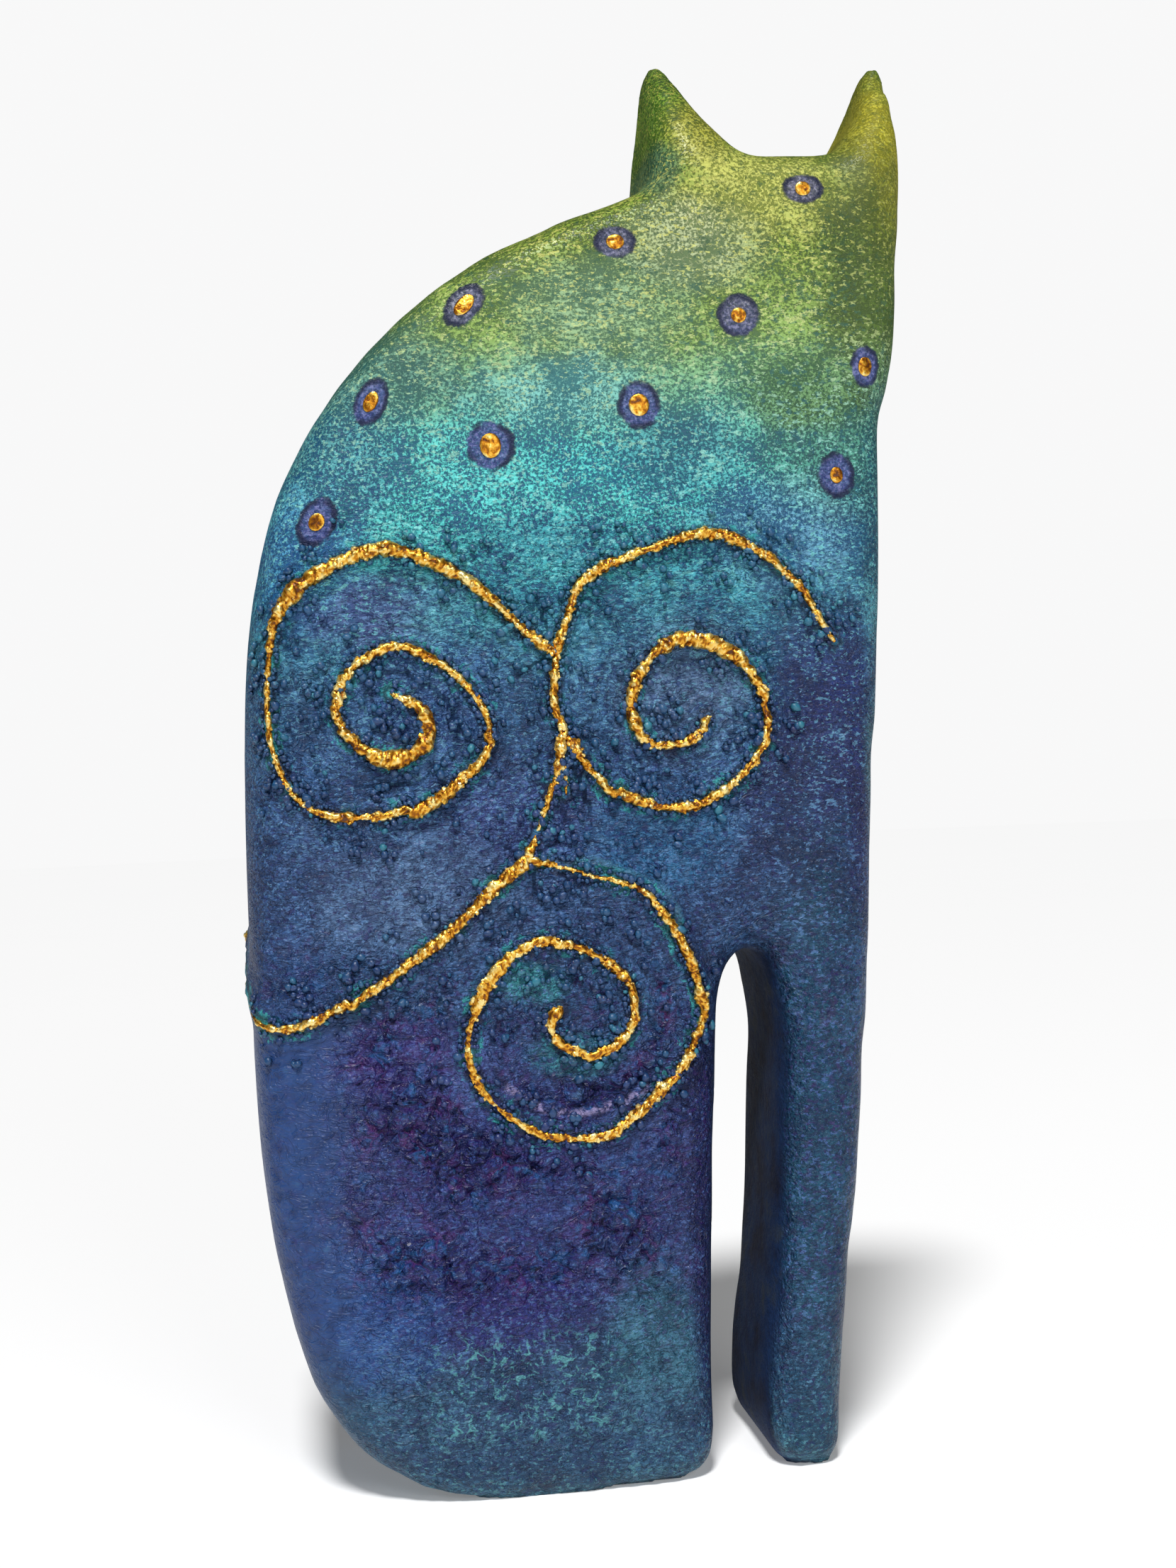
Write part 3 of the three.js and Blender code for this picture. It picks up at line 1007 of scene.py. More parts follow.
@dataclass(frozen=True)
class Line:
    """Centre line of one bead of paste, in the outline's own millimetres.

    Two numbers are a place on one face, and three are a place beside the surface where the line
    runs round the edge.

    Attributes:
        name: Name of the piece.
        places: Points of the line, from its inner end outwards.
        widths: Widths of the bead, evenly spaced from its inner end outwards.
        side: Face that two-number places are on.
    """

    name: str
    places: tuple[tuple[float, ...], ...]
    widths: tuple[float, ...] = (3.0, 3.0)
    side: Side = Side.NEAR


# Places where two of the lines meet.
STEM_TOP = (-10.6, 216)
STEM_FORK = (-9.6, 194)
STEM_FOOT = (-20, 163.4)
LINES = (
    Line(
        "gilded_scroll_upper_left",
        (
            (-53, 207.4), (-46.6, 203.4), (-44.2, 197.4), (-48, 192.2), (-55, 190.8), (-61.6, 194.2),
            (-66.4, 201), (-65.6, 209), (-60, 216), (-50, 219), (-37.6, 212.4), (-30, 202.4), (-29.4, 194),
            (-34.8, 186), (-46, 178.8), (-62, 176.2), (-76, 180), (-83.2, 193), (-84.2, 211), (-80, 230),
            (-67.6, 240), (-52, 244), (-33, 236), (-18, 222), STEM_TOP,
        ),
        (
            1.6, 4.2, 4.6, 3.2, 2.6, 2.9, 2.8, 2.2, 2.0, 2.2, 3.2, 2.9, 2.2, 2.0, 1.7, 1.5, 1.6, 2.6,
            4.2, 3.9, 4.2, 3.6, 3.2, 2.7, 2.6,
        ),
    ),
    Line(
        "gilded_stem",
        (STEM_TOP, (-11.6, 204), STEM_FORK, (-12.4, 184), (-17, 172), STEM_FOOT),
        (2.6, 2.4, 2.5, 3.2, 2.2, 1.9, 1.8, 0.3, 3.6),
    ),
    Line(
        "gilded_scroll_upper_right",
        (
            (28.4, 198.4), (25.4, 193.6), (19, 191.6), (12, 193), (8.8, 200), (10.4, 209), (18, 217.2),
            (28, 218), (37.4, 212.8), (43.4, 203), (43.6, 192), (34.6, 181), (21.6, 175.2), (8, 177.8),
            (-3, 185.6), STEM_FORK,
        ),
        (2.6, 3.0, 2.6, 3.3, 2.8, 3.2, 4.4, 3.9, 2.8, 2.3, 2.6, 2.4, 2.8, 2.5, 2.4, 2.3, 2.6),
    ),
    Line(
        "gilded_shoulder_arc",
        (
            STEM_TOP, (-7.2, 225), (-2, 235), (12, 241.6), (30, 245.8), (43, 241.4), (54, 232.6),
            (60, 222.6), (63.8, 217),
        ),
        (2.5, 2.6, 3.8, 2.5, 2.3, 3.1, 2.8, 2.5, 1.9, 2.0),
    ),
    Line(
        "gilded_scroll_haunch",
        (
            (-13.8, 125), (-14.6, 119.4), (-9, 114.6), (-1.4, 114.8), (4, 120.6), (4, 129.4),
            (-2.6, 136.8),
            (-13, 141.2), (-24.6, 138), (-33, 128.2), (-36.2, 115), (-31, 102.8), (-17.6, 94.2),
            (-0.8, 94.6), (13, 104), (21.2, 115), (22.8, 127), (17.2, 143), (7.6, 154.4), (-6, 159.4),
            STEM_FOOT,
        ),
        (
            3.0, 2.6, 2.8, 2.6, 2.8, 2.4, 2.4, 2.9, 3.2, 2.0, 1.8, 1.6, 2.1, 2.4, 2.8, 2.9, 2.4, 2.5,
            2.7, 2.8, 1.8, 1.1, 1.2, 2.8,
        ),
    ),
    Line(
        "gilded_rump_line",
        (
            STEM_FOOT, (-29.6, 156.2), (-43, 144.2), (-59, 133.6), (-73, 126.6), (-83.4, -28, 123.6),
            (-89.8, -23, 126.4), (-92.4, -15, 133), (-92.6, -3, 140), (-92.4, 10, 144), (-90, 21, 145),
            (-82, 29, 142), (-68, 31, 134), (-57, 32, 121), (-54, 32, 107), (-60, 32, 96), (-70, 32, 95),
            (-74.4, 32, 103), (-69.6, 32, 109),
        ),
        (3.8, 3.4, 2.8, 3.0, 2.4, 2.8, 2.6, 0.3, 0.3, 0.3, 1.2, 2.2, 2.6, 2.8, 2.4, 2.6, 2.8, 2.6, 2.2),
    ),
    Line("gilded_twig", ((-10.8, 188.8), (-10.1, 184.8), (-10.3, 179.8)), (1.6, 1.2, 1.4)),
)
RIDGES = (
    Line("lavender", ((-28.6, 105), (-21, 100), (-13.4, 97.6), (-5.6, 98), (2.2, 100), (8, 102.8))),
    Line("foam", ((-12.6, 161.6), (-4.4, 162), (1.4, 160), (8.4, 157), (14, 154), (17, 150), (18.8, 145))),
)


class Skin:
    """The smooth surface of the casting, which everything laid on it is placed by.

    Attributes:
        OUTSIDE: Distance from the middle plane at which a ray starts.
        FACE: Rough distance of both faces from the middle plane.
    """

    OUTSIDE = 200.0
    FACE = 30.0

    def __init__(self, mesh: Mesh) -> None:
        """Prepares a mesh for finding places on it.

        Args:
            mesh: The mesh.
        """
        corners = [vertex.co / MM for vertex in mesh.vertices]
        faces = [tuple(face.vertices) for face in mesh.polygons]
        self.tree = BVHTree.FromPolygons(corners, faces)

    def lay(self, x: float, z: float, side: Side) -> tuple[Vector, Vector]:
        """Finds the place on a face straight over a point of the outline's plane.

        Args:
            x: Place across.
            z: Place up.
            side: Face to land on.

        Returns:
            The place and the surface's normal there.
        """
        start = Vector((x, side.value * self.OUTSIDE, z))
        place, normal, _, _ = self.tree.ray_cast(start, Vector((0, -side.value, 0)))
        if place is None:
            return self.nearest(Vector((x, side.value * self.FACE, z)))
        return place, normal

    def nearest(self, point: Vector) -> tuple[Vector, Vector]:
        """Finds the nearest place of the surface and its normal."""
        place, normal, _, _ = self.tree.find_nearest(point)
        return place, normal


@dataclass
class Path:
    """A line laid on the skin as evenly spaced steps.

    Attributes:
        line: The line that it follows.
        points: Its steps in millimetres.
        normals: The surface's normals at the steps.
    """

    line: Line
    points: Numbers
    normals: Numbers

    @staticmethod
    def laid(line: Line, skin: Skin, step: float = 0.36) -> "Path":
        """Runs a smooth curve through a line's places and lays it on the skin.

        Args:
            line: Line to follow.
            skin: Surface to lie on.
            step: Distance between steps.

        Returns:
            The path.
        """
        face = 29.0 * line.side.value
        knots = []
        for at in line.places:
            y = at[1] + SHIFT_Y if len(at) == 3 else face
            knots.append(Vector((at[0] + SHIFT_X, y, at[-1])))
        padded = [knots[0] * 2 - knots[1], *knots, knots[-1] * 2 - knots[-2]]
        rough: list[Vector] = []
        for before, start, end, after in zip(padded, padded[1:], padded[2:], padded[3:]):
            count = max(3, round((end - start).length / step))
            handles = start + (end - before) / 6, end - (after - start) / 6
            rough += geometry.interpolate_bezier(start, *handles, end, count)[:-1]
        rough.append(knots[-1])
        placed = [skin.nearest(point) for point in rough]
        points = np.array([place[:] for place, _ in placed])
        normals = np.array([normal[:] for _, normal in placed])
        for _ in range(10):
            normals[1:-1] = (normals[:-2] + normals[1:-1] * 2 + normals[2:]) / 4
        normals /= np.linalg.norm(normals, axis=1, keepdims=True)
        return Path(line, points, normals)

    def along(self) -> Numbers:
        """Length of the path up to each step."""
        steps = np.linalg.norm(np.diff(self.points, axis=0), axis=1)
        return np.concatenate([[0.0], np.cumsum(steps)])


@dataclass
class Envelope:
    """The CAD box, which the dressed cat stays inside apart from a little.

    Attributes:
        spare: How far each side may be passed.
        soft: Thickness of the layer in which each side presses back.
    """

    spare: Vector = field(default_factory=lambda: Vector((1.2, 1.2, 0.0)))
    soft: Triple = (0.6, 1.2, 1e-6)

    def hold(self, points: Numbers) -> Numbers:
        """Keeps points within the box.

        Args:
            points: Places in millimetres.

        Returns:
            The places, pressed in where they were outside.
        """
        soft = np.array(self.soft)
        low = np.array((CAD_LOW / MM - self.spare)[:]) + soft
        high = np.array((CAD_HIGH / MM + self.spare)[:]) - soft
        over = 1 - np.exp(-np.maximum(points - high, 0) / soft)
        under = 1 - np.exp(-np.maximum(low - points, 0) / soft)
        return np.clip(points, low, high) + soft * (over - under)


@dataclass
class Casting:
    """The cat itself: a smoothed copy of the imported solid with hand-worked paste on its near face.

    Attributes:
        voxel: Size of the cells that the solid is rebuilt in.
        relax_rounds: Rounds of smoothing that take the flats out of the solid.
        near_slope: How squarely a face looks forward before it is made finer.
        stroke: Distance between the brush strokes that follow the scrolls.
        wrinkle: Size of the islands in the wrinkled paint of the haunch.
        ridge: Half width of the two painted ridges.
        ground: Height below which the underside is kept flat.
        tips: Height over which the ears' tips are smoothed on.
        tip_rounds: Rounds of smoothing there.
        envelope: Box that the worked surface is held in.
    """

    voxel: float = 2.2
    relax_rounds: int = 45
    near_slope: float = 0.25
    stroke: float = 3.1
    wrinkle: float = 5.6
    ridge: float = 1.1
    ground: float = 0.6
    tips: float = 352.0
    tip_rounds: int = 60
    envelope: Envelope = field(default_factory=Envelope)

    def shape(self) -> Mesh:
        """Rebuilds the solid in small even cells and takes its flats out.

        Returns:
            The smooth mesh.
        """
        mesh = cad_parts[NODE].data.copy()
        body = bmesh.new()
        body.from_mesh(mesh)
        bmesh.ops.remove_doubles(body, verts=body.verts, dist=0.01 * MM)
        body.to_mesh(mesh)
        body.free()
        rough = add_object("casting_rough", mesh)
        remesh = rough.modifiers.new("cells", "REMESH")
        remesh.mode = "VOXEL"
        remesh.voxel_size = self.voxel * MM
        mesh = baked(rough, "casting")
        self._relax(mesh, self.relax_rounds)

        body = bmesh.new()
        body.from_mesh(mesh)
        body.normal_update()
        near = [face for face in body.faces if face.normal.y < -self.near_slope]
        edges = list({edge for face in near for edge in face.edges})
        bmesh.ops.subdivide_edges(body, edges=edges, cuts=1, use_grid_fill=True)
        body.to_mesh(mesh)
        body.free()
        self._relax(mesh, 4)
        self._relax(mesh, self.tip_rounds, self.tips)
        return mesh

    def _relax(self, mesh: Mesh, rounds: int, above: float = -20.0) -> None:
        """Smooths a mesh without shrinking it, and keeps its underside flat.

        Args:
            mesh: Mesh to smooth.
            rounds: Number of rounds, each a pull in and a push out.
            above: Height over which it works, in millimetres.
        """
        points = read_points(mesh)
        floor = points[:, 2] < self.ground
        free = smoothstep(points[:, 2], above, above + 8)[:, None]
        pairs = np.empty(len(mesh.edges) * 2, dtype=np.int64)
        mesh.edges.foreach_get("vertices", pairs)
        first, second = pairs.reshape(-1, 2).T
        total = len(points)
        share = np.bincount(first, minlength=total) + np.bincount(second, minlength=total)
        for _ in range(rounds):
            for pull in (0.5, -0.515):
                mean = np.empty_like(points)
                for axis in range(3):
                    ahead = np.bincount(first, points[second, axis], total)
                    back = np.bincount(second, points[first, axis], total)
                    mean[:, axis] = (ahead + back) / share
                points += pull * (mean - points) * free
                points[floor, 2] = 0
        write_points(mesh, points)

    def work(self, mesh: Mesh, paths: list[Path], ridges: list[Path]) -> None:
        """Models the paste on the near face and stores what the paint reads.

        Args:
            mesh: The smooth mesh.
            paths: Gilded lines on it.
            ridges: The two painted ridges.
        """
        points = read_points(mesh)
        normals = read_normals(mesh)
        line, along = self._nearest(points, paths, 30.0)
        near = smoothstep(-normals[:, 1], 0.25, 0.75)
        facing = smoothstep(np.abs(normals[:, 1]), 0.25, 0.75)
        touched = np.flatnonzero((near > 0) | (line < 30))
        shape, tone, wrinkled, fine = self._paste(points[touched], line[touched], near[touched])
        for path in ridges:
            reach, _ = self._nearest(points, [path], 12.0)
            bank = np.exp(-((reach / self.ridge) ** 2))
            shape += bank[touched] * (0.8 + 1.2 * fine)
            write_attribute(mesh, path.line.name, bank * near)
        relief, colour, furrow = np.zeros((3, len(points)))
        relief[touched] = shape
        colour[touched] = tone
        furrow[touched] = wrinkled

        moved = points + normals * relief[:, None]
        moved[points[:, 2] < self.ground, 2] = 0
        moved[:, 2] = np.maximum(moved[:, 2], 0)
        write_points(mesh, self.envelope.hold(moved))
        write_attribute(mesh, "line_distance", line)
        write_attribute(mesh, "line_along", along)
        write_attribute(mesh, "relief", colour)
        write_attribute(mesh, "furrow", furrow)
        x, y, z = points.T
        # The arch's inner walls, which the casting's paint darkens as painted shade.
        inside = smoothstep(x, 20, 25) * smoothstep(x, 52, 47) * smoothstep(z, 140, 134)
        write_attribute(mesh, "arch", inside * (1 - facing) * smoothstep(np.abs(y), 30, 24))
        write_attribute(mesh, "dot_reach", self._dot_reach(points))

    def _paste(self, points: Numbers, line: Numbers, near: Numbers) -> tuple[Numbers, ...]:
        """Works out the lumps, strokes and wrinkles of the paste.

        Args:
            points: Places in millimetres.
            line: Distance of each from the nearest gilded line.
            near: How squarely each faces the viewer.

        Returns:
            The relief's height, the tone that the paint reads, the wrinkles' strength and the
            fine noise that they share.
        """
        x, _, z = points.T
        lumps = rough_noise(points, 7.0, 3)
        fine = rough_noise(points, 2.8, 2, 5.0)
        zone = smoothstep(line, 24, 6)
        phase = line * (math.tau / self.stroke) + wave_noise(points, 16, 3.0) * 3 + lumps * 1.2
        fading = smoothstep(line, 2.5, 5) * (0.6 + 0.5 * wave_noise(points, 11, 8.0))
        strokes = np.sin(phase) * zone * fading
        paste = (0.24 * lumps + 0.24 * fine) * (1 + 0.5 * zone) * smoothstep(line, -1.5, 2.5)
        spread = near * (0.16 + 0.84 * smoothstep(z, 262, 216))
        smooth_rump = smoothstep(x, -56, -80) * smoothstep(z, 134, 118)
        smooth_rim = smoothstep(x, 14, 20) * smoothstep(z, 134, 110)
        smooth_leg = smoothstep(x, 42, 50) * 0.8
        calm = 1 - 0.85 * np.maximum.reduce([smooth_rump, smooth_rim, smooth_leg])

        warp = np.stack([wave_noise(points, 9, seed) for seed in (1.0, 2.0, 4.0)], axis=1) * 2.4
        border, _ = cracks(points + warp, self.wrinkle)
        haunch = smoothstep(z, 150, 122) * smoothstep(line, 4, 9) * calm * near
        haunch *= 0.3 + 0.7 * smoothstep(wave_noise(points, 20, 6.0), -0.45, 0.25)
        haunch *= 0.3 + 0.7 * smoothstep(z, 44, 62)
        crease = smoothstep(border, 0.15, 0.02)
        islands = np.clip(border, 0, 0.6) * 0.9

        mound = np.exp(-((line / 2.9) ** 2)) * (0.3 + 0.25 * fine)
        shape = paste * spread * calm + strokes * 0.13 * near * calm
        shape += haunch * (islands * 2.3 - 1.2 * crease) + mound
        tone = strokes * 0.4 + (fine + lumps * 0.5) * 0.6 * spread
        tone += (islands - crease * 0.4) * haunch
        return shape, tone, haunch * smoothstep(z, 44, 60), fine

    @staticmethod
    def _nearest(points: Numbers, paths: list[Path], limit: float) -> tuple[Numbers, Numbers]:
        """Distance from each point to the nearest path.

        Args:
            points: Places in millimetres.
            paths: Paths to measure to.
            limit: Distance beyond which nothing is measured.

        Returns:
            The distance, at most the limit, and the length along the path there.
        """
        steps = np.concatenate([path.points for path in paths])
        lengths = np.concatenate([path.along() for path in paths])
        tree = KDTree(len(steps))
        for i, step in enumerate(steps):
            tree.insert(step, i)
        tree.balance()
        distance = np.full(len(points), limit)
        along = np.zeros(len(points))
        for i, point in enumerate(points):
            _, index, reach = tree.find(point)
            if reach < limit:
                distance[i] = reach
                along[i] = lengths[index]
        return distance, along

    @staticmethod
    def _dot_reach(points: Numbers) -> Numbers:
        """Measures how far out of the nearest painted dot each point is.

        Args:
            points: Places in millimetres.

        Returns:
            0 at a dot's middle, 1 at the edge of its patch, and at most 3.
        """
        reach = np.full(len(points), 3.0)
        for dot in DOTS:
            turn = math.radians(dot.tilt)
            dx = points[:, 0] - dot.x
            dz = points[:, 2] - dot.z
            u = (dx * math.cos(turn) + dz * math.sin(turn)) / (dot.patch[0] / 2)
            v = (dz * math.cos(turn) - dx * math.sin(turn)) / (dot.patch[1] / 2)
            away = np.where(points[:, 1] * dot.side.value < 5, 3.0, 0.0)
            reach = np.minimum(reach, np.hypot(u, v) + away)
        return reach

    def dress(self, mesh: Mesh) -> bpy.types.Object:
        """Makes the casting's object and gives it its paint.

        Args:
            mesh: The worked mesh.

        Returns:
            The piece.
        """
        mesh.shade_smooth()
        piece = close_piece("glazed_casting", mesh, CastingFinish().material())
        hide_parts(NODE)
        return piece


@dataclass
class GildedBead:
    """One crusty gilded line: a lumpy round bead with angular nuggets on it.

    Attributes:
        path: Path that it follows.
        draw: Source of its random numbers.
        fullness: Half width of the bead as a share of the width that its line gives.
        sides: Sides of the bead's section.
        lift: Height of its middle line over the smooth surface.
        chunk: Size of the crust's angular lumps.
        nugget_every: Length of bead for each loose nugget.
        nuggets: Least and greatest size of a nugget.
        envelope: Box that it is held in.
    """

    path: Path
    draw: random.Random
    fullness: float = 0.46
    sides: int = 16
    lift: float = 0.45
    chunk: float = 1.7
    nugget_every: float = 1.3
    nuggets: tuple[float, float] = (0.35, 0.95)
    envelope: Envelope = field(default_factory=Envelope)

    def _radii(self) -> Numbers:
        """Works out how thick the bead is, thick and thin as it was squeezed.

        Returns:
            Its half width at each step.
        """
        line = self.path.line
        along = self.path.along()
        marks = np.linspace(0, along[-1], len(line.widths))
        squeezed = np.interp(along, marks, line.widths)
        swell = wave_noise(self.path.points, 7, 1.0) * 0.42 + wave_noise(self.path.points, 2.4, 9.0) * 0.3
        ends = np.minimum(along, along[-1] - along)
        return squeezed * self.fullness * (1 + swell) * (0.6 + 0.4 * smoothstep(ends, 0, 2))

    def _bead(self) -> Mesh:
        """Sweeps a round section along the path.

        Returns:
            The plain bead.
        """
        radii = self._radii()
        sunk = smoothstep(radii, 0.2, 0.6)
        centres = self.path.points + self.path.normals * (radii * 0.2 + self.lift * sunk)[:, None]
        curve = bpy.data.curves.new(self.path.line.name, "CURVE")
        curve.dimensions = "3D"
        curve.bevel_depth = MM
        curve.bevel_resolution = self.sides // 2 - 1
        curve.use_fill_caps = True
        spline = curve.splines.new("POLY")
        spline.points.add(len(centres) - 1)
        for point, centre, radius in zip(spline.points, centres, radii):
            point.co = (*(centre * MM), 1)
            point.radius = radius
        swept = bpy.data.objects.new(self.path.line.name, curve)
        bpy.context.scene.collection.objects.link(swept)
        return baked(swept, self.path.line.name)

    def _nuggets(self, body: bmesh.types.BMesh, crest_tone_and_light: Layer) -> None:
        """Presses angular nuggets into the bead.

        Args:
            body: Bead to add them to.
            crest_tone_and_light: Layer that holds how bright the gold is, painted highlight and shade
                included.
        """
        radii = self._radii()
        length = self.path.along()[-1]
        for _ in range(round(length / self.nugget_every)):
            step = self.draw.randrange(len(radii))
            if radii[step] < 0.4:
                continue
            normal = Vector(self.path.normals[step])
            after, before = min(step + 1, len(radii) - 1), max(step - 1, 0)
            ahead = Vector(self.path.points[after] - self.path.points[before])
            across = normal.cross(ahead.normalized())
            lean = self.draw.uniform(-1.25, 1.25)
            out = normal * math.cos(lean) + across * math.sin(lean)
            centre = Vector(self.path.points[step]) + normal * self.lift + out * radii[step]
            size = self.draw.uniform(*self.nuggets) * (0.6 + 0.3 * radii[step])
            angle = self.draw.uniform(0, math.tau)
            turn = Matrix.Rotation(angle, 4, (self.draw.random(), 1, self.draw.random()))
            flat = self.draw.uniform(0.6, 1.1), self.draw.uniform(0.5, 0.9)
            stretch = Matrix.Diagonal((size, size * flat[0], size * flat[1], 1))
            place = Matrix.Translation(centre * MM) @ turn @ stretch
            made = bmesh.ops.create_icosphere(body, subdivisions=1, radius=MM, matrix=place)
            shine = self.draw.uniform(0.55, 1.0)
            for vertex in made["verts"]:
                vertex.co += Vector([self.draw.uniform(-0.14, 0.14) * size * MM for _ in range(3)])
                vertex[crest_tone_and_light] = shine

    def build(self, finish: Material) -> bpy.types.Object:
        """Makes the gilded line.

        Args:
            finish: Its gold.

        Returns:
            The piece.
        """
        mesh = self._bead()
        points = read_points(mesh)
        normals = read_normals(mesh)
        warp = np.stack([wave_noise(points, 2.2, s) for s in (1.0, 2.0, 4.0)], axis=1) * 0.9
        border, shade = cracks(points + warp, self.chunk)
        gap = smoothstep(border, 0.2, 0.02)
        lumps = rough_noise(points, 1.9, 2, 6.0)
        fine = rough_noise(points, 0.9, 2, 2.0)
        radius = np.repeat(self._radii(), len(points) // len(self.path.points))[: len(points)]
        radius = np.pad(radius, (0, len(points) - len(radius)), mode="edge")
        rise = 0.42 * lumps + 0.6 * (shade - 0.45) - 0.26 * gap + 0.16 * fine
        rise *= np.interp(radius, (0.4, 1.4), (0.45, 1.0))
        points += normals * rise[:, None]
        write_points(mesh, points)
        mesh.shade_smooth()
        body = bmesh.new()
        body.from_mesh(mesh)
        # Higher lumps get a brighter crest value and cracks a darker one: partly painted highlight and
        # painted shade.
        crest_tone_and_light = body.verts.layers.float.new("crest_tone_and_light")
        for vertex, value in zip(body.verts, 0.54 + 0.34 * shade + 0.34 * lumps - 0.5 * gap + 0.2 * fine):
            vertex[crest_tone_and_light] = value
        self._nuggets(body, crest_tone_and_light)
        body.to_mesh(mesh)
        body.free()
        write_points(mesh, self.envelope.hold(read_points(mesh)))
        return close_piece(self.path.line.name, mesh, finish)


@dataclass
class GildedDabs:
    """The small dabs of gold in the middle of the painted dots.

    Attributes:
        skin: Surface that they lie on.
        rise: How far a dab stands out of the surface.
        spread: Half size of a dab as a share of the size that its dot gives.
        segments: Segments round a dab.
        rings: Rings from its middle to its middle behind.
    """

    skin: Skin
    rise: float = 0.32
    spread: float = 0.56
    segments: int = 16
    rings: int = 8

    def build(self, finish: Material) -> bpy.types.Object:
        """Makes all the dabs as one piece.

        Args:
            finish: Their gold.

        Returns:
            The piece.
        """
        body = bmesh.new()
        crest_tone_and_light = body.verts.layers.float.new("crest_tone_and_light")
        for dot in DOTS:
            place, normal = self.skin.lay(dot.x, dot.z, dot.side)
            turn = Vector((0, -1, 0)).rotation_difference(normal).to_matrix().to_4x4()
            tilt = Matrix.Rotation(-math.radians(dot.tilt), 4, "Y")
            wide, high = dot.dab[0] * self.spread, dot.dab[1] * self.spread
            size = Matrix.Diagonal((wide * MM, self.rise * MM, high * MM, 1))
            upright = Matrix.Rotation(math.radians(90), 4, "X")
            move = Matrix.Translation(place * MM) @ turn @ tilt @ size @ upright
            made = bmesh.ops.create_uvsphere(
                body, u_segments=self.segments, v_segments=self.rings, radius=1.0, matrix=move
            )
            for vertex in made["verts"]:
                out = (vertex.co / MM - place).length / max(wide, high)
                lump = noise.noise(vertex.co / MM / 0.8)
                vertex.co += normal * (lump * 0.3 + max(out - 0.6, 0) * 0.35) * MM
                # Raised lumps are brighter, partly as painted highlight, and the raised rim is cream paint.
                vertex[crest_tone_and_light] = 0.38 + lump * 0.7 + max(out - 0.6, 0) * 0.8
        mesh = made_mesh("gilded_dots", body)
        mesh.shade_smooth()
        return close_piece("gilded_dots", mesh, finish)


